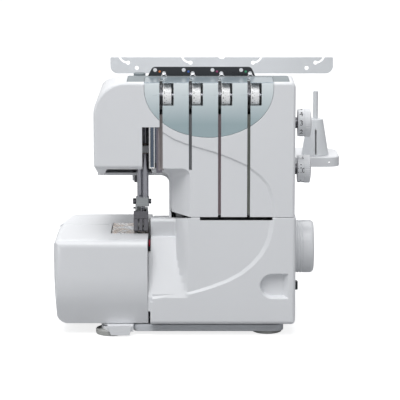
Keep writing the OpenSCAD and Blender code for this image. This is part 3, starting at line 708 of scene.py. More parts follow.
@dataclass(frozen=True)
class Tinted(Finish):
    """Smoky see-through plastic, deeper toward its lower edge and paling to a painted highlight at the top of its face,
    with a painted shade on its flat top.
    """

    lid: Colour
    top: Colour
    bottom: Colour
    heights: Span
    alpha: float

    def mix(self, recipe: Recipe) -> bpy.types.Material:
        """Colour follows the height on the piece: smoke tint low down, a painted highlight higher up, and a painted
        shade on the flat top.
        """
        cloud = recipe.noise(25.0, 3.0)
        # painted highlight: the face pales to near white toward its top, above the darker smoke tint at its lower edge
        face = recipe.ramp(recipe.axis("Z") + cloud * 0.004, *self.heights,
                           [(0.0, self.bottom), (0.3, self.bottom), (1.0, self.top)])
        # painted shade: the flat top above the face gets a dark tone of its own
        colour = recipe.blend(recipe.axis("Z") > self.heights[1], face, self.lid)
        return recipe.finish(colour, 0.16 + cloud * 0.08, recipe.bump(recipe.noise(400.0, 1.0), 0.00001),
                             Alpha=self.alpha, Specular_IOR_Level=0.25)


@dataclass(frozen=True)
class Coded(Finish):
    """Paint in a different colour at each thread path, from left to right."""

    colours: tuple[Colour, ...]
    edges: tuple[float, ...] = (-0.03, 0.003, 0.035)

    def mix(self, recipe: Recipe) -> bpy.types.Material:
        """Constant colours between the edges along X, in metres."""
        base = recipe.bands("X", (-0.1, 0.1), self.edges, self.colours)
        wear = recipe.noise(120.0, 4.0)
        return recipe.finish(recipe.blend(wear * 0.25, base, (0.25, 0.24, 0.23)), 0.37 + wear * 0.16,
                             recipe.bump(wear, 0.00003))


@dataclass(frozen=True)
class TippedBlack(Finish):
    """Black painted steel with a red tip at its low end."""

    tip_z: float

    def mix(self, recipe: Recipe) -> bpy.types.Material:
        """Red below a line across the arm, black above it."""
        chips = recipe.noise(300.0, 4.0)
        tip = (self.tip_z - recipe.axis("Z") + chips * 0.001) > 0.0
        colour = recipe.blend(tip, (0.012, 0.012, 0.014), (0.42, 0.02, 0.05))
        return recipe.finish(colour, 0.28 + chips * 0.2, recipe.bump(chips, 0.00002))


SHELL = Moulded("shell plastic", (0.80, 0.81, 0.83), 0.38)
PALE = Moulded("pale grey plastic", (0.74, 0.76, 0.78), 0.4)
TRIM = Moulded("grey trim plastic", (0.24, 0.27, 0.285), 0.55, specular=0.2)
BASE_GREY = Moulded("base plastic", (0.62, 0.64, 0.67), 0.5)
DIAL = Moulded("dial plastic", (0.80, 0.81, 0.83), 0.36)
WHEEL = Moulded("tension wheel plastic", (0.95, 0.95, 0.95), 0.34)
BLACK = Moulded("black plastic", (0.02, 0.023, 0.028), 0.35, clouding=0.1)
INK = Moulded("printing ink", (0.012, 0.013, 0.02), 0.5, clouding=0.08)
RUBBER = Moulded("foot rubber", (0.44, 0.445, 0.43), 0.7, 900.0, 0.00004, 0.06)
BELT = Moulded("belt rubber", (0.03, 0.03, 0.032), 0.65, 900.0, 0.00005, 0.1)
STEEL = Metal("polished steel", (0.46, 0.46, 0.5), 0.2)
GROUND = Metal("ground steel", (0.45, 0.47, 0.48), 0.32, (12.0, 1.0, 1.0))
DARK_STEEL = Metal("blackened steel", (0.10, 0.10, 0.11), 0.3, (1.0, 1.0, 6.0), contrast=0.25)
CAST = Metal("cast aluminium", (0.50, 0.51, 0.53), 0.5, (1.0, 1.0, 1.0), 700.0, 0.12, 0.00005)
BRONZE = Metal("bush bronze", (0.24, 0.19, 0.15), 0.42, (1.0, 1.0, 4.0))
MOTOR = Metal("motor steel", (0.30, 0.31, 0.33), 0.42, (4.0, 1.0, 1.0))
# thread guide tones by depth: a white painted highlight between darker bands of painted shade
GUARD = LayeredSteel("thread guide steel", (-0.1185, -0.1155, -0.09),
                     ((0.30, 0.28, 0.32), (1.0, 1.0, 1.0), (0.16, 0.2, 0.26), (0.75, 0.75, 0.78)))
PLATE = PlateSteel("needle plate steel")
# smoky cover: top is a painted highlight on the face, the lid colour a painted shade on the flat top
LENS = Tinted("smoky cover plastic with painted light", lid=(0.30, 0.36, 0.40), top=(0.92, 0.98, 1.0),
              bottom=(0.42, 0.53, 0.56), heights=(0.228, 0.2906), alpha=0.9)
DOTS = Coded("dot paint", ((0.75, 0.2, 0.03), (0.02, 0.12, 0.55), (0.35, 0.03, 0.16), (0.02, 0.35, 0.15)))
LINERS = Coded("channel paint", ((0.42, 0.38, 0.38), (0.34, 0.35, 0.37), (0.42, 0.33, 0.36),
                                 (0.33, 0.35, 0.32)))
KNIFE = TippedBlack("knife arm paint", 0.1075)


# ---- Sub-assemblies ----

@dataclass
class Casing:
    """The fixed covers of the head, the arm and the column."""

    wall: float = 2.5
    left: float = -121.0
    right: float = 104.0
    top: float = 291.5
    above: float = 293.0
    split_z: float = 139.2
    low_front: float = 195.0
    low_back: float = 172.0
    column_left: float = -37.6
    crease: float = -12.4
    front_depth: float = 84.0
    body_depth: float = 172.0
    ledge_z: float = 131.8
    shoulder_fall: float = 0.189
    bed_left: float = -58.0
    bed_z: float = 112.5
    skirt_z: float = 15.0
    lens_x: Span = (-64.0, 79.3)
    lens_z: float = 283.5
    lens_deep: float = 53.6
    bend: float = 60.0
    back_top: float = 266.0

    def top_at(self, y: float) -> float:
        """Height of the top at a depth: level, then falling from the bend to the back."""
        return self.top - max(y - self.bend, 0.0) * (self.top - self.back_top) / (self.body_depth - self.bend)

    def head(self, inset: float, y: Span) -> Form:
        """The head and arm, grown smaller by an inset, between two depths."""
        slope = (self.low_front - self.low_back) / self.front_depth
        front = soft_rectangle((self.left + inset, self.right - inset), (self.low_back - 2, self.top - inset),
                               [0, 0, 6 - inset, 37 - inset], 14)
        before, behind = -2.0, self.body_depth + 2
        side = [(before, self.low_front + inset + 2 * slope), (self.front_depth, self.low_back + inset),
                (behind, self.low_back + inset), (behind, self.top_at(behind) - inset),
                (self.bend, self.top - inset), (self.bend - 1, self.top - inset + 0.4), (before, self.top + 0.4)]
        return prism(front, y, FRONT).combine(Join.COMMON, prism(side, (self.left - 1, self.right + 1), SIDE))

    def column(self, inset: float, y: Span, low: float) -> Form:
        """The column under the arm, grown smaller by an inset, between two depths and from a height."""
        edge, left, right = self.crease + inset * 0.8, self.column_left + inset, self.right - inset
        outline = [(left, y[0])]
        if y[0] < 38:
            outline = [(edge, y[0])] + ([(edge, inset * 0.4)] if y[0] < inset * 0.4 else [])
            outline += [(left, 38 + inset * 0.4)]
        outline += [(left, y[1]), (right, y[1]), (right, y[0])]
        return prism(outline[::-1], (low, 215))

    def lens(self, grow: float) -> tuple[float, float, float]:
        """Middle, half width and depth of the tension cover's bowl, grown."""
        left, right = self.lens_x
        return (left + right) / 2, (right - left) / 2 + grow, self.lens_deep + grow

    def lens_outline(self, grow: float, up: float) -> list[Point]:
        """Outline of the tension cover, grown, and running past the top."""
        middle, half, deep = self.lens(grow)
        turns = [math.radians(180 + 4 * i) for i in range(46)]
        bowl = [(middle + half * math.cos(a), self.lens_z + deep * math.sin(a)) for a in turns]
        return ([(middle - half, self.top + up)] + bowl + [(middle + half, self.top + up)])[::-1]

    def rim_distance(self, p: Vector) -> float:
        """How far a point of the front face is from the tension cover's rim, roughly."""
        middle, half, deep = self.lens(0.3)
        if p.z > self.lens_z:
            return min(abs(p.x - middle - half), abs(p.x - middle + half))
        return abs(math.hypot((p.x - middle) / half, (p.z - self.lens_z) / deep) - 1) * deep

    def field(self) -> Form:
        """The shallow recess of the column's front, bounded above by the sweep."""
        sweep = [(-48.0, 239.2), (-43.5, 236.1), (-30.1, 228.2), (-13.4, 222.0), (12.2, 214.6), (31.2, 207.9),
                 (51.3, 198.8), (67.0, 186.3), (76.0, 176.1), (81.7, 159.0), (84.1, 138.0)]
        inner = [polar(x, z, 1.5 + 0.3 * i, 240 - i * 6) for i, (x, z) in enumerate(sweep)]
        floor = [(-60.0, 138.0), (-60.0, 239.2)]
        return prism((sweep + floor)[::-1], (-0.2, 1.6), FRONT, (inner + floor)[::-1])

    def front_cover(self) -> None:
        """The front shell with its slots, window seat, needle slot and swept field."""
        depth, inside = (0, self.front_depth), self.right - self.wall
        shell = self.head(0, depth).add(self.column(0, depth, self.split_z))
        shell.soften(8, lambda p: -39 < p.x < self.crease + 0.5 and 150 < p.z < 200 and p.y > 1, 6)
        shell.soften(4, lambda p: near(p.x, self.left) and p.z < 196 and p.y > 1, 5)
        shell.cut(self.field())
        shell.soften(3.5, lambda p: p.y < 0.1 and (p.z > 254 or p.x < -85 or p.x > 103), 6)
        shell.soften(1.3, lambda p: p.y < 1.6 and 141 < p.z < 200 and p.x < self.crease + 2, 3)
        depth = (self.wall, self.front_depth + PAST)
        shell.cut(self.head(self.wall, depth).add(self.column(self.wall, depth, self.split_z + self.wall)))
        shell.cut(block((self.column_left + self.wall, inside), (34, 86), (138.2, 142.7)))
        shell.cut(prism([(-107, 12), (-57, 12), (-57, 78), (-113, 78)], (162, 198.5)))
        shell.cut(block((-66.8, -44.2), (-1, 22), (175, 241.3)))
        for x, low in zip(SLOTS, (192.5, 192.5, 138, 138)):
            shell.cut(block(about(x, SLOT_HALF), (-1, 11), (low, self.above)))
        shell.cut(prism(self.lens_outline(0.3, 1), (-1, 2.6), FRONT))
        shell.cut(block((-64.3, 79.6), (-1, 45.3), (288.9, self.above)))
        seat = [(5.7, 288.8), (self.bend, 288.8), (86, self.top_at(86) - 2.7), (86, self.above), (5.7, self.above)]
        shell.cut(prism(seat, (-84, 97.6), SIDE))
        for z in (237.3, 183.9):
            shell.cut(bar((100, 105), (DIAL_Y, z), 6.6, SIDE))
        wedge = [(15, 140.2), (15, 139.2), (36, 135.8), (36, 140.2)]
        shell.add(prism(wedge, (inside + 0.01, self.right), SIDE))
        shell.soften(0.7, lambda p: p.y < 0.05 and p.z > 226 and self.lens_x[0] - 1 < p.x < self.lens_x[1] + 1
                     and self.rim_distance(p) < 1.2, 2)
        shell.piece("front_cover_shell", "machine", SHELL, "white_shell", "front_cover", smooth=SWEEP_SMOOTH)

    def shoulder_room(self, inset: float) -> Form:
        """The space above the shoulder, which falls toward the back beside the column, grown by an inset."""
        start, end, high = 20, 177, 160 + inset
        low = [(y, self.ledge_z - self.shoulder_fall * (y - 38) - 1.02 * inset) for y in (start, end)]
        return prism(low + [(end, high), (start, high)], (-59, self.column_left + inset), SIDE)

    def rear_cover(self) -> None:
        """The rear shell: back of the head and column, and the lower right side."""
        wall, start, low_start = self.wall, self.front_depth + 0.4, 36.4
        inside, back = self.right - wall, self.body_depth - wall
        shell = block((self.bed_left, self.right), (low_start, self.body_depth), (self.skirt_z + 0.1, self.ledge_z))
        shell.cut(self.shoulder_room(0))
        outer = (start, self.body_depth)
        shell.add(self.column(0, outer, self.ledge_z - 1), self.head(0, outer))
        shell.add(block((self.column_left, self.right), (low_start, start + 1), (self.ledge_z - 1, self.split_z - 0.4)))
        shell.soften(11, lambda p: near(p.x, self.column_left) and near(p.z, self.low_back), 6)
        shell.soften(5, lambda p: near(p.y, self.body_depth), 5)
        shell.soften(1.2, lambda p: 104 < p.z < 171 and p.x < self.column_left + 0.1, 3)
        room, low = (start - PAST, back), self.ledge_z - wall
        inner = self.head(wall, room)
        inner.add(self.column(wall, room, low - PAST))
        inner.add(block((self.column_left + wall, inside), (low_start - PAST, start + PAST),
                        (low - PAST, self.split_z + PAST)))
        low_room = block((self.bed_left + wall, inside), (low_start - PAST, back), (self.skirt_z - PAST, low))
        shell.cut(inner.add(low_room.cut(self.shoulder_room(wall))))
        side = (-59, -54.5)
        shell.cut(block(side, (40, 112), (14, 112)), block(side, (111, 166), (14, 100)))
        side = (inside - PAST, self.right + PAST)
        shell.cut(bar(side, SHAFT, 8, SIDE))
        shell.cut(block(side, (51.5, 68.5), (42.5, 53))).cut(block(side, (105.5, 128.5), (37, 55)))
        through = (168.5, 173)
        for x in range(10, 71, 10):
            shell.cut(prism(soft_rectangle((x, x + 4), (40, 80), [1.9] * 4, 4), through, FRONT))
        shell.cut(block(about(STAND_X, 27), through, (150, 158)))
        ears = block((-82, -64), (118, 138), (169.5, 172.01))
        for x in ((-82, -79.5), (-66.5, -64)):
            ears.add(prism(soft_rectangle((122, 134), (158, 170), [4, 4, 0, 0]), x, SIDE))
        shell.add(ears.cut(bar((-83, -63), (128, 163), 2, SIDE)))
        shell.piece("rear_cover_shell", "machine", SHELL, "white_shell", "rear_cover")

    def bed_outline(self, inset: float, right: float) -> list[Point]:
        """Plan of the bed behind the cloth plate."""
        back = arc(-145, 141, 11 - inset, 90, 180)
        return [(right, 152 - inset)] + back + [(-166 + inset, 91 + inset), (right, 91 + inset)]

    def rear_bed(self) -> None:
        """The fixed bed behind the cloth plate."""
        bed = prism(self.bed_outline(0, -59.0), (self.skirt_z + 0.1, self.bed_z))
        bed.soften(2.2, lambda p: p.z > 112 and p.y > 91.5 and p.x < -59.5, 4)
        bed.soften(0.6, lambda p: p.z > 112, 2)
        bed.cut(prism(self.bed_outline(self.wall, -58.0), (14, 110)))
        for left, back, low, high in ((-152, 94.5, 14, 104.5), (-104.4, 97.4, 110.9, 113.5), (-102, 95, 103.5, 113.5)):
            bed.cut(block((left, -58), (90, back), (low, high)))
        bed.piece("rear_bed_shell", "machine", SHELL, "white_shell", "rear_bed")

    def top_cover(self) -> None:
        """The grey tray in the top with the hole for the pressure knob."""
        back = self.front_depth
        high = [(back, self.top_at(back)), (self.bend, self.top), (6, self.top)]
        low = [(y, z - self.wall) for y, z in high[::-1]]
        cover = prism(low + high, (-83.7, 97.3), SIDE)
        cover.cut(block((self.lens_x[0] - 0.3, self.lens_x[1] + 0.3), (5, 45.3), (287, self.above)))
        cover.cut(bar((281, self.above), (-71.2, 66), 7.3))
        cover.soften(0.5, lambda p: p.z > self.top_at(p.y) - 0.1 and not near(p.y, self.bend), 2)
        cover.piece("top_cover_panel", "machine", TRIM, "grey_trim", "top_cover")

    def base(self) -> None:
        """The base plate, the front leg, the rubber feet and the case screws."""
        plate = prism(soft_rectangle((-78, 93), (12, 164), (6, 10, 10, 10)), (4, 12))
        plate.add(prism(soft_rectangle((-78, 93), (38, 164), (0, 0, 10, 10)), (11, 15)))
        plate.add(prism(soft_rectangle((-160, -60), (72, 150), (8, 0, 0, 8)), (6, 15)))
        plate.add(bar((6, 15), HINGE, 8.5)).cut(bar((5, 16), HINGE, 4.0))
        for x in range(-14, 47, 12):
            plate.cut(block((x, x + 5), (66, 124), (3, 16)))
        for p in ((-66, 140), (84, 66), (10, 150), (-148, 96), (-70, 24), (84, 150)):
            plate.cut(bar((3, 8), p, 4.2))
        plate.soften(0.8, lambda p: p.z < 5 or near(p.z, 12), 2)
        plate.piece("base_plate_moulding", "machine", BASE_GREY, "grey_trim", "base_plate")
        ease_node("front_leg", "front_leg_moulding", "machine", SHELL, "white_shell", 0.4, lambda p: p.z < 12.5)
        feet = Form()
        for x, y, r, high in ((-104, 21.4, 17.3, 6), (74.5, 31, 17.3, 4), (74, 144, 15, 4), (-132, 130, 15, 6)):
            feet.turned([(0, 0.3), (r - 5, 0.3), (r - 4.5, 0), (r - 1.5, 0), (r - 0.4, 0.4), (r, 1.5), (r, high - 1),
                         (r - 0.3, high - 0.3), (r - 1, high), (0, high)], (x, y))
        feet.piece("rubber_feet_pads", "machine", RUBBER, "foot_rubber", "rubber_feet")
        ease_node("case_screws", "case_screw_heads", "machine", STEEL, "polished_steel", 0.3)

    def build(self) -> None:
        """Builds the fixed covers."""
        for step in (self.front_cover, self.rear_cover, self.rear_bed, self.top_cover, self.base):
            step()


@dataclass
class ThreadPath:
    """The tension cover, wheels, guides and channels on the head."""

    casing: Casing
    wheel_r: float = 14.0
    spindle: Point = (15.2, 275.5)
    hole_r: float = 2.2

    def tension_cover(self) -> None:
        """The smoky cover with its slots and wheel windows, and its flat top."""
        top, wall = self.casing.top, self.casing.wall
        cover = prism(self.casing.lens_outline(0, 0), (0, wall), FRONT)
        cover.add(block(self.casing.lens_x, (wall - 0.01, 45.0), (top - wall, top)))
        cover.soften(1.6, lambda p: p.y < 0.1 and near(p.z, top), 4)
        for x in SLOTS:
            cover.cut(block(about(x, SLOT_HALF), (-1, 30), (220, self.casing.above)))
            cover.cut(block((x + 1.6, x + 14), (-1, 30), (265.4, top - 0.8)))
            cover.cut(block((x - 9.4, x - 2.4), (-1, 0.4), (277.0, 277.45)))
        cover.soften(0.3, lambda p: p.y < 0.1 and p.z < top - 3.2, 2)
        cover.piece("tension_cover_window", "machine", LENS, "tinted_cover", "tension_cover")

    def guide_plate(self) -> None:
        """The black thread guide with two holes to each thread and a coloured dot between."""
        low, bend, back = 291.5, self.casing.bend, 72
        outline = [(-61.5, low)] + arc(-53, 296.8, 5, 150, 90, 5) + arc(52.5, 296.8, 5, 90, 30, 5) + [(60.4, low)]
        plate = prism(outline[::-1], (57, 58.5), FRONT)
        under = [(58.4, low), (bend, low), (back, self.casing.top_at(back))]
        plate.add(prism(under + [(y, z + 1.2) for y, z in under[::-1]], (-60, 59), SIDE))
        dots = Form()
        for x in SLOTS:
            for at in ((x - 7.7, 298.2), (x + 2.4, 294.4)):
                plate.cut(bar((56, 60), at, self.hole_r, FRONT, steps=24))
            dots.turned([(0, 56.5), (0.8, 56.53), (1.2, 56.7), (1.3, 57), (0, 57)], (x - 2.5, 296.4), FRONT, steps=20)
        plate.soften(0.25, segments=2).piece("thread_guide_plate", "machine", BLACK, "black_plastic", "guide_plate")
        dots.piece("thread_colour_dots", "machine", DOTS, "dot_colours", "colour_dots")

    def guides(self) -> None:
        """The wire eyes above the slots and the bent guards in the needle slot."""
        wires, ring = Form(), [polar(2.6, 50, 0.8, a) for a in range(0, 360, 30)]
        for x in SLOTS:
            loop = Form().turned(ring, (x + 2.6, 291.5), FRONT, closed=True, steps=40)
            wires.merge(loop.cut(block((x - 5, x + 10), (45, 55), (280, 291.5))))
        guard = block((-59.7, -52.8), (14, 19.4), (192, 239))
        guard.add(block((-51.3, -44.8), (11, 19.4), (188, 239)), block((-53, -51), (18.2, 19.4), (198, 239)),
                  block((-59.7, -57.5), (19.3, 44), (205.5, 208)))
        guard.cut(block((-57.9, -54.3), (13, 17.6), (193.5, 240)))
        wires.merge(guard.soften(0.25, segments=2))
        wires.piece("thread_guide_wires", "machine", GUARD, "polished_steel", "thread_guides")

    def channels(self) -> None:
        """The painted channels behind the thread slots."""
        channels, outer, inner = Form(), 2.9, 2.1
        for x, low in zip(SLOTS, (192, 192, 141, 141)):
            channels.prism([(x - outer, 2.7), (x - inner, 2.7), (x - inner, 8.6), (x + inner, 8.6), (x + inner, 2.7),
                            (x + outer, 2.7), (x + outer, 9.4), (x - outer, 9.4)], (low, 254.5))
        channels.piece("thread_channels", "machine", LINERS, "grey_trim")

    def wheels(self) -> None:
        """The four tension wheels with notched rims and printed figures."""
        r, (y, z) = self.wheel_r, self.spindle
        for number, x in enumerate(SLOTS, 1):
            low, high = x + 2, x + 11.6
            half = [(3.05, 0), (r - 0.8, 0), (r - 0.2, 0.3), (r, 0.9)]
            profile = [(at, low + w) for at, w in half] + [(at, high - w) for at, w in half[::-1]]
            wheel, notches = Form().turned(profile, self.spindle, SIDE, True, 96), Form()
            for degrees in range(0, 360, 15):
                tool = block((x + 7.5, x + 12), (y + r - 0.5, y + r + 1), about(z, 0.6))
                notches.merge(tool.turn(degrees, SIDE, Vector((0, y, z))))
            wheel.cut(notches)
            wheel.piece(f"tension_wheel_{number}", f"tension_{number}", WHEEL, "dial_plastic", f"tension_dial_{number}")
            figures = Form()
            for n in range(10):
                figures.merge(wrap(numeral(str(n), 3.4), x + 4.0, self.spindle, r - 0.02, 66 - n * 24))
            for n in range(20):
                dash = block((-0.5, 0.5), (-0.1, 0.1), (0, 0.1))
                figures.merge(wrap(dash, x + 6.2, self.spindle, r - 0.02, 66 - n * 12))
            figures.piece(f"tension_figures_{number}", f"tension_{number}", INK, "dial_plastic")

    def build(self) -> None:
        """Builds the thread path."""
        for step in (self.tension_cover, self.guide_plate, self.guides, self.channels, self.wheels):
            step()
        keep_nodes({"tension_rail": CAST, "tension_spindle": STEEL, "tension_discs": DARK_STEEL})


@dataclass
class NeedleHead:
    """Needle bar, presser bar and what they carry."""

    bar: Point = (-64.5, 56.0)
    presser: Point = (-71.2, 66.0)
    needle_y: float = 55.0
    clamp_z: float = 147.0

    def bars(self) -> None:
        """The two bars, the spring and the pressure knob."""
        rod = bar((150, 269), self.bar, 3.2, ease=0.4)
        rod.piece("needle_bar_rod", "needle_bar", STEEL, "polished_steel", "needle_bar")
        rod, collar = bar((137, 270), self.presser, 3.5, ease=0.4), bar((224, 232), self.presser, 7.4, ease=0.6)
        rod.add(collar.cut(block((-68.5, -58), (50, 80), (223, 233))))
        rod.piece("presser_bar_rod", "presser_bar", STEEL, "polished_steel", "presser_bar")
        keep_nodes({"presser_spring": STEEL})
        knob = bar((287.5, 293.9), self.presser, 6.8, ease=1.0).add(bar((281, 287.6), self.presser, 3, ease=0.2))
        knob.cut(block((-76.2, -66.2), (65.3, 66.7), (292.5, 295)))
        knob.piece("pressure_knob_cap", "pressure", TRIM, "grey_trim", "pressure_knob")

    def clamp(self) -> None:
        """The needle clamp, its screws and the needles."""
        ease_node("needle_clamp", "needle_clamp_block", "needle_bar", GROUND, "ground_steel", 0.3,
                  lambda p: p.z < 150.5)
        screws, at = Form(), (self.needle_y, self.clamp_z)
        for head, r, face, shank in (((-79.3, -75.8), 3.4, (-79.31, -78.09), (-75.9, -70.8)),
                                     ((-60.9, -58.2), 2.9, (-59.41, -58.19), (-64.0, -60.8))):
            screw = bar(head, at, r, SIDE, 0.5, 30)
            screw.cut(block(face, about(self.needle_y, 5), about(self.clamp_z, 0.5)))
            screws.merge(screw.add(bar(shank, at, 1.5, SIDE, 0.1, 24)))
        screws.piece("clamp_screw_pair", "needle_bar", DARK_STEEL, "ground_steel", "clamp_screws")
        needles = Form()
        for x in (-69.6, -67.2):
            needles.turned([(0, 117), (0.2, 118.6), (0.45, 121), (0.45, 138), (1, 141), (1, 149), (0, 149)],
                           (x, self.needle_y), steps=24)
        needles.piece("needle_pair", "needle_bar", STEEL, "polished_steel", "needles")

    def foot(self) -> None:
        """The ankle, the foot and the lifter."""
        ankle = Form().node("presser_ankle")
        ankle.cut(block((-67.6, -64.6), (60, 69.5), (128, 135.4)), block((-76.0, -74.6), (60, 66), (122, 135)))
        ankle.soften(0.22, segments=2)
        ankle.piece("presser_ankle_block", "presser_bar", GROUND, "ground_steel", "presser_ankle")
        ease_node("presser_foot", "presser_foot_sole", "presser_foot", DARK_STEEL, "ground_steel", 0.25)
        ease_node("lifter_lever", "lifter_lever_arm", "lifter", DARK_STEEL, "ground_steel", 0.8, segments=3)

    def build(self) -> None:
        """Builds the needle and presser pieces."""
        self.bars()
        self.clamp()
        self.foot()
        keep_nodes({"bushes": BRONZE})


@dataclass
class StitchBed:
    """The needle plate, feed, knives and loopers."""

    bed_z: float = 112.5
    pitch: float = 2.1

    def build(self) -> None:
        """Builds the bed's steel pieces."""
        plate = Form().node("needle_plate")
        plate.soften(2.5, lambda p: near(p.x, -103.4) and self.bed_z - 1.4 < p.z < self.bed_z - 0.1, 5)
        plate.soften(0.15, lambda p: p.z > self.bed_z - 0.05, 2)
        plate.piece("needle_plate_steel", "machine", PLATE, "ground_steel", "needle_plate")
        teeth, high, low = Form(), self.bed_z - 0.1, self.bed_z - 1.1
        for i in range(9):
            for x in ((-76.6, -74.2), (-65.6, -63.2)):
                y = 57.1 + i * self.pitch
                teeth.prism([(y - 0.55, high), (y, low), (y + 0.55, high)], x, SIDE)
        dogs = Form().node("feed_dogs").cut(teeth)
        dogs.piece("feed_dog_rows", "feed", GROUND, "ground_steel", "feed_dogs")
        ease_node("lower_knife", "lower_knife_blade", "machine", GROUND, "ground_steel", 0.25)
        ease_node("knife_arm", "knife_arm_lever", "knife", KNIFE, "knife_black", 0.3)
        for looper in ("lower_looper", "upper_looper"):
            ease_node(looper, f"{looper}_lever", looper, STEEL, "polished_steel", 0.4)


@dataclass
class Drive:
    """The handwheel and what turns with it inside."""

    wheel_r: float = 30.5
    start: float = 105.0
    grooves: tuple[float, ...] = (4.5, 7.5, 10.5)

    def handwheel(self) -> None:
        """The handwheel with fine grooves round its grip and a rounded outer edge."""
        r, x = self.wheel_r, self.start
        profile = [(0, x), (r - 0.6, x), (r - 0.15, x + 0.15), (r, x + 0.6)]
        for at in self.grooves:
            profile += [(r - drop, x + at + along) for drop, along in (
                (0, -0.7), (0.12, -0.5), (0.5, -0.2), (0.5, 0.2), (0.12, 0.5), (0, 0.7))]
        profile += arc(r - 4.5, x + 19.5, 4.5, 0, 90, 10)
        profile += [(21.2, x + 24), (20.2, x + 23.8), (19.2, x + 23.1), (18.2, x + 22.5), (0, x + 22.4)]
        wheel = Form().turned(profile, SHAFT, SIDE, steps=144).cut(bar((x - 1, x + 18.5), SHAFT, 6, SIDE))
        wheel.piece("handwheel_rim", "drive", DIAL, "dial_plastic", "handwheel")

    def build(self) -> None:
        """Builds the wheel and dresses the pieces inside."""
        self.handwheel()
        keep_nodes({"main_shaft": STEEL, "shaft_pulley": CAST, "drive_belt": BELT, "motor_pulley": STEEL,
                    "motor": MOTOR, "needle_rocker": CAST, "inner_frame": CAST, "hinge_pin": STEEL,
                    "cover_rod": STEEL, "dial_spindles": DARK_STEEL})


@dataclass
class SideControls:
    """The stitch and feed dials, the switch and the mains inlet on the right side."""

    right: float = 104.0
    start: float = 109.1
    band_r: float = 15.6
    flutes: int = 40

    def dial(self, name: str, height: float, marks: Sequence[tuple[str, float, float]]) -> None:
        """One side dial.

        Args:
            name: the CAD node it stands for, and its body.
            height: height of its axis.
            marks: figures with their size and place round the band in degrees.
        """
        x, r, centre = self.start, self.band_r, (DIAL_Y, height)
        profile = [(0, x + 8), (3.05, x + 8), (3.05, x), (15.0, x), (r - 0.15, x + 0.15), (r, x + 0.6), (r, x + 6.9),
                   (15.3, x + 7.15), (15.3, x + 7.35), (15.9, x + 7.6), (16, x + 8), (16, x + 13.7), (15.8, x + 14.1),
                   (15.3, x + 14.4)] + arc(0, x - 53.9, 70, 78, 87, 3) + [(0.0, x + 16.1), (0.0, x + 8)]
        dial, flutes, figures = Form().turned(profile, centre, SIDE, steps=120), Form(), Form()
        for i in range(self.flutes):
            flutes.bar((x + 8.6, x + 24), polar(*centre, 16.55, i * 360 / self.flutes), 0.85, SIDE, 0.2, 10)
        dial.cut(flutes).piece(f"{name}_knob", name, DIAL, "dial_plastic", name)
        for text, size, place in marks:
            figures.merge(wrap(numeral(text, size), x + 3.8, centre, r - 0.02, place))
        figures.piece(f"{name}_figures", name, INK, "dial_plastic")

    def build(self) -> None:
        """Builds the dials, the switch and the inlet."""
        self.dial("stitch_dial", 237.3, [(t, 8.2, a) for t, a in zip("54321", (86, 46, 6, -34, -74))]
                  + [(".", 12.0, a) for a in (67, 27, -13, -53)])
        self.dial("feed_dial", 183.9, [("1.5", 6.0, 62), ("1.0", 8.0, 2), ("0.7", 6.0, -66)]
                  + [(".", 12.0, a) for a in (38, 24, -36)])
        switch = block((99, self.right + 4.6), (52.2, 67.8), (43, 52.6))
        low, high = self.right + 4.4, self.right + 6.8
        switch.add(prism([(52.25, low), (60.6, low), (59.4, high), (52.25, high)], (43.05, 52.55), CROSS))
        switch.soften(0.3, lambda p: p.x > 103, 2).add(bar((42.6, 52.9), (102.5, DIAL_Y), 1.2, steps=24))
        switch.piece("power_switch_rocker", "switch", BLACK, "black_plastic", "power_switch")
        ease_node("inlet_socket", "inlet_socket_shell", "machine", BLACK, "black_plastic", 0.3,
                  lambda p: p.x > 104)


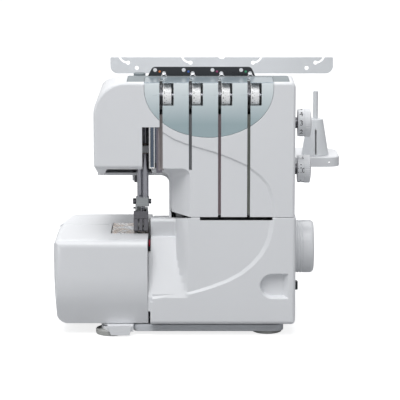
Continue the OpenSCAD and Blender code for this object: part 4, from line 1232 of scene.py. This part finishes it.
@dataclass
class OpeningCovers:
    """The cloth plate, which swings left, and the looper cover, which slides and tilts."""

    bed_z: float = 112.5
    bed_left: float = -167.5
    plate_right: float = -61.3
    plate_depth: float = 90.0
    low_edge: float = 15.6
    hem: float = 13.4
    wall: float = 2.5
    looper_left: float = -58.5
    looper_right: float = 105.6
    looper_low: float = 14.6
    looper_top: float = 138.6
    rod: Point = (7.0, 21.5)
    ledge_z: float = 131.8
    crease: float = -12.4

    def cloth_body(self, inset: float) -> Form:
        """The cloth plate's solid, grown smaller by an inset and open below, at the right and behind.

        Args:
            inset: thickness taken off; with one, the solid runs past its open sides.

        Returns:
            The solid.
        """
        i, past = inset, 3.0 if inset else 0.0
        left, top, low, hem = self.bed_left, self.bed_z, self.low_edge, self.hem
        right, back = self.plate_right + past, self.plate_depth - 0.5 + past
        bow = [(left + out + i, z) for out, z in ((0.4, 68), (0.8, 56), (1.4, 45.5), (2.0, 37))]
        foot, turn = arc(-152.4, hem + 12.8, 12.8, 173, 270), arc(left + 9.5, self.plate_depth - 10, 9.5, 180, 90)
        under = [(100, low), (60, low), (60, hem), (12.1, hem)]
        if inset:
            foot, turn = [(-164.5 + i, 27), (-164.5 + i, 5)], [(left + i, back)]
            under = [(100, hem - 6), (14.01 + 1.05 * i, hem - 6)]
        front = [(right, top - i)] + arc(left + 8, top - 8, 8 - i, 90, 180) + bow + foot + [(right, hem - past)]
        plan = [(right, i)] + arc(left + 9, 9, 9 - i, 270, 180) + turn + [(right, back)]
        side = arc(9, top - 9, 9 - i, 180, 90) + [(100, top - i)] + under + arc(120, 70, 120 - i, 197, 180)
        return prism(front, (-1, back + 2), FRONT).combine(
            Join.COMMON, prism(plan[::-1], (5, top + 1)), prism(side[::-1], (left - 1, right + 1), SIDE))

    def cloth_plate(self) -> None:
        """The cloth plate with its hinge barrel and its cut-out for the needle plate."""
        shell = self.cloth_body(0).cut(self.cloth_body(self.wall))
        shell.add(bar((16, 98), HINGE, 8, ease=0.5)).cut(bar((14, 99), HINGE, 4.05))
        shell.cut(block((-104.4, self.plate_right + 5), (40, 95), (107.5, 113.5)))
        shell.soften(0.4, lambda p: p.z > self.bed_z - 0.1 and p.x > self.bed_left + 9 and p.y > 9, 2)
        shell.soften(1.0, lambda p: near(p.x, self.plate_right) and p.y < 4)
        shell.soften(0.8, lambda p: near(p.z, self.hem) and p.y < 40)
        shell.piece("cloth_plate_cover", "cloth_plate", SHELL, "white_shell", "cloth_plate")

    def scoop(self, inset: float) -> Form:
        """The cutter of the hollow at the upper left.

        Args:
            inset: how much smaller than the hollow's face it is.

        Returns:
            The cutter, its rows of points drawn out from the crease to the left at each height.
        """
        i = inset
        slope = [(i + (27 - 0.3 * i) * t / 8, 46 - 1.2 * i + (64.5 + 0.2 * i) * t / 8) for t in range(9)]
        lip = arc(31.5 + i, self.ledge_z - 3.5 - i, 3.5, 180, 90, 6)
        rows = []
        for depth, z in slope + [(31.5 + i, 111 - i)] + lip + [(48, self.ledge_z + 0.05 - i), (48, 200)]:
            row = []
            for d in (48.0, 36.0, 30.0, 26.0, 24.0, 22.0, 20.5, 19.0, 18.0, 17.0, 16.3, 15.5, 14.5, 13.5, 12.0,
                      10.5, 9.0, 7.5, 6.0, 4.5, 3.0, 1.5, 0.0):
                share = min(d / 17.0, 1.0)
                wall = 28.0 * (0.25 * share + 0.75 * (1 - math.sqrt(1 - share * share))) + 3 * max(d - 17.0, 0.0)
                ease = min(3.0, 0.6 * (depth - i))
                blend = (depth - i + wall - math.hypot(depth - i - wall, ease)) / 2
                row.append(Vector((self.crease + i - d, i + blend, z)))
            rows.append(row)
        return Form().sheet(rows, -1.0)

    def brow(self, inset: float) -> Form:
        """The cutter that slopes the top edge above the hollow down toward the back."""
        i, high = inset, 138.55 - inset
        side = [(-1, high), (i, high), (28 + i, self.ledge_z - i), (48, self.ledge_z - i), (48, 200), (-1, 200)]
        return prism(side, (-60, self.crease + i), SIDE)

    def looper_body(self, inset: float) -> Form:
        """The looper cover's solid, grown smaller by an inset."""
        i, low, top, back = inset, self.looper_low, self.looper_top, 37 if inset else 36
        left, right = self.looper_left + i, self.looper_right - i
        side = arc(5, low + 5, 5 - i, 180, 270) + [(40, low + i), (40, top - 4.3 - i), (15, top - i), (i, top - i)]
        plan = [(left, i)] + arc(self.looper_right - 4.5, 4.5, 4.5 - i, 270, 360) + [(right, back), (left, back)]
        form = prism(soft_rectangle((left, right), (low + i, top - i), [0, 6 - i, 0, 0]), (-1, back), FRONT)
        form.combine(Join.COMMON, prism(side, (left - 1, right + 1), SIDE), prism(plan, (5, 150)))
        return form.cut(self.scoop(i), self.brow(i))

    def field(self) -> Form:
        """The shallow recess bounded below by the bright sweep."""
        sweep = [(84.6, 150.0), (83.0, 138.4), (80.8, 126.0), (78.3, 114.3), (74.4, 104.2), (69.0, 95.0),
                 (58.6, 83.0), (45.4, 72.3), (30.5, 64.3), (13.7, 57.7), (-2.6, 52.6), (-18.1, 48.6), (-60.0, 44.0)]
        inner = [polar(x, z, 6.6 - 0.32 * i, 172 - max(i - 1, 0) * 6.4) for i, (x, z) in enumerate(sweep)]
        floor = [(-60.0, 150.0)]
        return prism(sweep + floor, (-0.2, 1.7), FRONT, inner + floor)

    def thumb_cup(self, shell: Form) -> None:
        """Adds the cup behind the thumb recess and cuts the recess."""
        shell.add(prism(soft_rectangle((63, 99.5), (43, 76), [4] * 4), (0.2, 11), FRONT))
        rim = arc(79.5, 59.5, 14.2, 90, 270, 16) + [(97.6, 45.3), (97.6, 73.7)]
        deep = arc(79.5, 60.2, 12.9, 90, 270, 16) + [(91.8, 47.3), (91.8, 73.1)]
        shell.cut(prism(rim[::-1], (-0.1, 8), FRONT, deep[::-1]))

    def looper_cover(self) -> None:
        """The looper cover with its scoop, thumb recess and swept field."""
        left, inside = self.looper_left, self.looper_right - self.wall
        shell = self.looper_body(0)
        shell.soften(1.0, lambda p: near(p.x, left) and 18 < p.z < 109 and p.y < 27)
        shell.cut(self.field())
        shell.soften(1.0, lambda p: p.y < 20 and near(p.z, self.looper_top))
        shell.cut(self.looper_body(self.wall))
        self.thumb_cup(shell)
        slope = (27.0 - 2.0) / (110.5 - 46.0)
        step = [(-1, 41), (2, 41), (2, 46), (2 + slope * 62.5, 108.5), (-1, 108.5)]
        shell.cut(prism(step, (left - 1, left + 2.4), SIDE))
        lip = [(2, 30), (6, 30), (6, 46), (27, 94), (2 + slope * 48, 94), (2, 46)]
        shell.add(prism(lip, (left - 2.5, left + 1), SIDE))
        for x in (-56.0, inside - 3):
            shell.add(bar((x, x + 3), self.rod, 6, SIDE))
        shell.cut(block((-2.3, 79.2), (-1, 37), (135.3, 140.2)))
        shell.cut(bar((-59.5, 104.8), self.rod, 2.55, SIDE))
        shell.cut(block((-56.0, inside), (10, 37), (10, 18))).cut(block((-59.5, 106.6), (33, 37), (10, 22)))
        for x in ((-53.5, -36.5), (68.5, 85.5)):
            shell.cut(block(x, (2.5, 12), (14, 30)))
        shell.soften(0.9, lambda p: p.y < 0.05 and 62 < p.x < 100 and 42 < p.z < 76)
        shell.piece("looper_cover_shell", "looper_cover", SHELL, "white_shell", "looper_cover", smooth=SWEEP_SMOOTH)

    def build(self) -> None:
        """Builds both covers."""
        self.cloth_plate()
        self.looper_cover()


@dataclass
class ThreadStand:
    """The spool tray, pins, cone holders and the telescopic guide."""

    pin_y: float = 212.0
    rod: Point = (STAND_X, 218.0)
    tray_z: float = 175.0
    reach: float = 143.3

    def tray(self) -> None:
        """The spool tray on its bracket."""
        tray = prism(soft_rectangle(about(STAND_X, self.reach), (190, 262), [14, 14, 24, 24], 12), (163, self.tray_z))
        tray.soften(1.6, lambda p: p.z > self.tray_z - 0.1, 4)
        room = soft_rectangle(about(STAND_X, self.reach - 2.5), (192.5, 259.5), [12, 12, 21, 21], 12)
        tray.cut(prism(room, (162, 172.5))).add(bar((163, 174), self.rod, 9))
        bracket = block(about(STAND_X, 26), (164, 200), (151, 156))
        tray.add(bracket.add(block(about(STAND_X, 26), (190.1, 200), (151, 172.6))))
        for x in about(STAND_X, 130.4):
            tray.cut(bar((189, 193), (x, 168.6), 1.0, FRONT, steps=20))
        tray.cut(bar((162, 176), self.rod, 6))
        for x in PINS:
            tray.cut(bar((171.5, 176), (x, self.pin_y), 3.6))
        tray.piece("spool_tray_moulding", "machine", SHELL, "white_shell", "spool_tray")

    def spools(self) -> None:
        """The spool pins and the slit cone holders."""
        pins, cones = Form(), Form()
        for x in PINS:
            at = (x, self.pin_y)
            pins.turned([(0, 169.5), (7.6, 169.5), (8, 169.9), (8, 172.1), (7.6, 172.5), (3.6, 172.5), (3.6, 218.8),
                         (3.1, 219.2), (3.1, 251.6), (2.6, 252.9), (1.6, 253.3), (0, 253.4)], at, steps=40)
            cone = Form().turned([(3.6, 175), (16.1, 175), (16.5, 175.4), (16.5, 176.8), (16.2, 177.2), (9.4, 218.0),
                                  (9.1, 218.6), (8.5, 218.8), (3.6, 218.8)], at, closed=True)
            cone.cut(Form().turned([(5.1, 174), (14, 174), (14, 176), (8, 211), (5.1, 211)], at, closed=True, steps=48))
            for degrees in range(0, 360, 90):
                slit = block(about(x, 1), (self.pin_y + 5.1, self.pin_y + 19), (177, 207))
                cone.cut(slit.turn(degrees, PLAN, Vector((*at, 0))))
            cones.merge(cone)
        pins.piece("spool_pin_set", "machine", PALE, "grey_trim", "spool_pins")
        cones.piece("cone_holder_set", "machine", PALE, "grey_trim", "cone_holders")

    def mast(self) -> None:
        """The tube, the sleeve and the rod."""
        tube = Form().turned([(0, 163), (5.8, 163), (6, 163.3), (6, 257.6), (5.7, 258), (5, 258), (5, 166), (0, 166)],
                             self.rod)
        tube.piece("stand_tube_steel", "machine", STEEL, "polished_steel", "stand_tube")
        sleeve = Form().turned([(0, 167), (4.95, 167), (4.95, 258.4), (5.6, 258.4), (5.9, 258.7), (5.9, 263.5),
                                (5.4, 264), (3.5, 264), (3.5, 169), (0, 169)], self.rod)
        sleeve.piece("stand_sleeve_steel", "stand_sleeve", STEEL, "polished_steel", "stand_sleeve")
        rod = bar((170, 276), self.rod, 3.45, ease=0.3)
        rod.piece("stand_rod_steel", "stand_top", STEEL, "polished_steel", "stand_rod")

    def hook(self, x: float, z: float, side: int) -> Form:
        """The cutter of a thread hole whose slot hooks up to the top edge on one side."""
        near_arc = [polar(0, z + 11, 9.8, a) for a in range(270, 199, -7)]
        far_arc = [polar(0, z + 11, 12.2, a) for a in range(200, 271, 7)]
        tool = prism([(x + side * across, up) for across, up in near_arc + far_arc], (221, 227), FRONT)
        return tool.add(bar((220.5, 227.5), (x, z), 2.5, FRONT, steps=32))

    def guide_bar(self) -> None:
        """The flat bar with its hooked thread holes and its hub on the rod."""
        low, high, through = 223.0, 225.4, (221, 227)
        plate = prism(soft_rectangle(about(STAND_X, 135.8), (273, 292.8), [9, 9, 1, 1], 10), (low, high), FRONT)
        for x, side in zip(PINS, (1, 1, -1, -1)):
            plate.cut(self.hook(x, 286.2, side))
        for x in about(STAND_X, 103.6):
            plate.cut(bar(through, (x, 279.8), 2.5, FRONT, steps=32))
        plate.cut(bar(through, (STAND_X, 295.6), 5, FRONT))
        plate.soften(0.4, lambda p: p.z < 283 or abs(p.x - STAND_X) > 135, 2)
        hub = bar((266, 278), self.rod, 5.6, ease=0.6)
        plate.add(hub.add(block(about(STAND_X, 5), (self.rod[1], low + 1), (273, 278))))
        plate.cut(bar((265, 276), self.rod, 3.45))
        plate.piece("thread_guide_bar", "stand_top", PALE, "grey_trim", "guide_bar")

    def build(self) -> None:
        """Builds the stand."""
        for step in (self.tray, self.spools, self.mast, self.guide_bar):
            step()


@dataclass
class Studio:
    """The pale floor, the world, the lamps and the camera."""

    sky: Colour = (0.80, 0.82, 0.85)
    sky_strength: float = 0.4
    floor_glow: float = 0.82
    lens: float = 175.5
    eye: tuple[float, float, float] = (-0.0023, -2.2749, 0.5757)
    tilt: float = 79.0

    def world(self) -> None:
        """White to the camera and to reflections, softer on the surfaces."""
        world = bpy.data.worlds.new("studio")
        recipe = Recipe(world, "ShaderNodeOutputWorld")
        path = recipe.node("ShaderNodeLightPath", {}, {}).socket.node
        camera, glossy, through = (Signal(recipe, path.outputs[f"Is {kind} Ray"])
                                   for kind in ("Camera", "Glossy", "Transmission"))
        sky, white = (recipe.node("ShaderNodeBackground", {}, {"Color": (*colour, 1), "Strength": strength})
                      for colour, strength in ((self.sky, self.sky_strength), ((1, 1, 1), 1.0)))
        recipe.close(recipe.node("ShaderNodeMixShader", {}, {0: camera + glossy + through, 1: sky, 2: white}))
        bpy.context.scene.world = world

    def floor(self) -> None:
        """A wide pale floor that keeps the machine's soft shadow."""
        form = prism([(-4000, -3000), (4000, -3000), (4000, 5000), (-4000, 5000)], (-5, -0.2))
        floor = place_object("studio_floor", form.data("studio_floor"))
        recipe = Recipe(bpy.data.materials.new("studio floor"), "ShaderNodeOutputMaterial")
        seen = recipe.node("ShaderNodeLightPath", {}, {}, "Is Camera Ray")
        glow = recipe.blend(seen, (0, 0, 0), (self.floor_glow,) * 3)
        recipe.close(recipe.node("ShaderNodeBsdfPrincipled", {}, {
            "Base Color": (0.40, 0.405, 0.41, 1), "Roughness": 0.9, "Emission Color": glow,
            "Emission Strength": 1.0}))
        floor.data.materials.append(recipe.owner)

    def lamp(self, name: str, at: Sequence[float], aim: Sequence[float], size: float, power: float) -> None:
        """One soft square lamp.

        Args:
            name: its name.
            at: its place in metres.
            aim: the point it faces.
            size: its side in metres.
            power: its power in watts.
        """
        data = bpy.data.lights.new(name, "AREA")
        data.size, data.energy = size, power
        lamp = place_object(name, data)
        lamp.location = at
        lamp.rotation_euler = (Vector(aim) - Vector(at)).to_track_quat("-Z", "Y").to_euler()

    def camera(self) -> None:
        """A long lens a little above the machine, looking slightly down."""
        data = bpy.data.cameras.new("camera")
        data.lens, data.sensor_width = self.lens, 36.0
        camera = place_object("camera", data)
        camera.location = self.eye
        camera.rotation_euler = (math.radians(self.tilt), 0, 0)
        bpy.context.scene.camera = camera

    def build(self) -> None:
        """Sets the stage."""
        bpy.context.scene.view_settings.view_transform = "Standard"
        self.world()
        self.floor()
        self.lamp("front_top", (-0.45, -1.65, 2.75), (0, 0, 0.15), 1.95, 67.0)
        self.lamp("rear_high", (0.15, 1.65, 2.8), (0, 0, 0.12), 2.1, 37.0)
        self.lamp("left_low", (-1.7, -0.5, 0.8), (0, 0, 0.15), 1.2, 2.5)
        self.camera()


def main() -> None:
    """Builds every sub-assembly in order."""
    logging.basicConfig(level=logging.INFO, format="%(name)s %(message)s")
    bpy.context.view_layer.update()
    casing = Casing()
    for part in (casing, ThreadPath(casing), NeedleHead(), StitchBed(), Drive(), SideControls(), OpeningCovers(),
                 ThreadStand(), Studio()):
        log.info("%s", type(part).__name__)
        part.build()


if __name__ == "__main__":
    main()
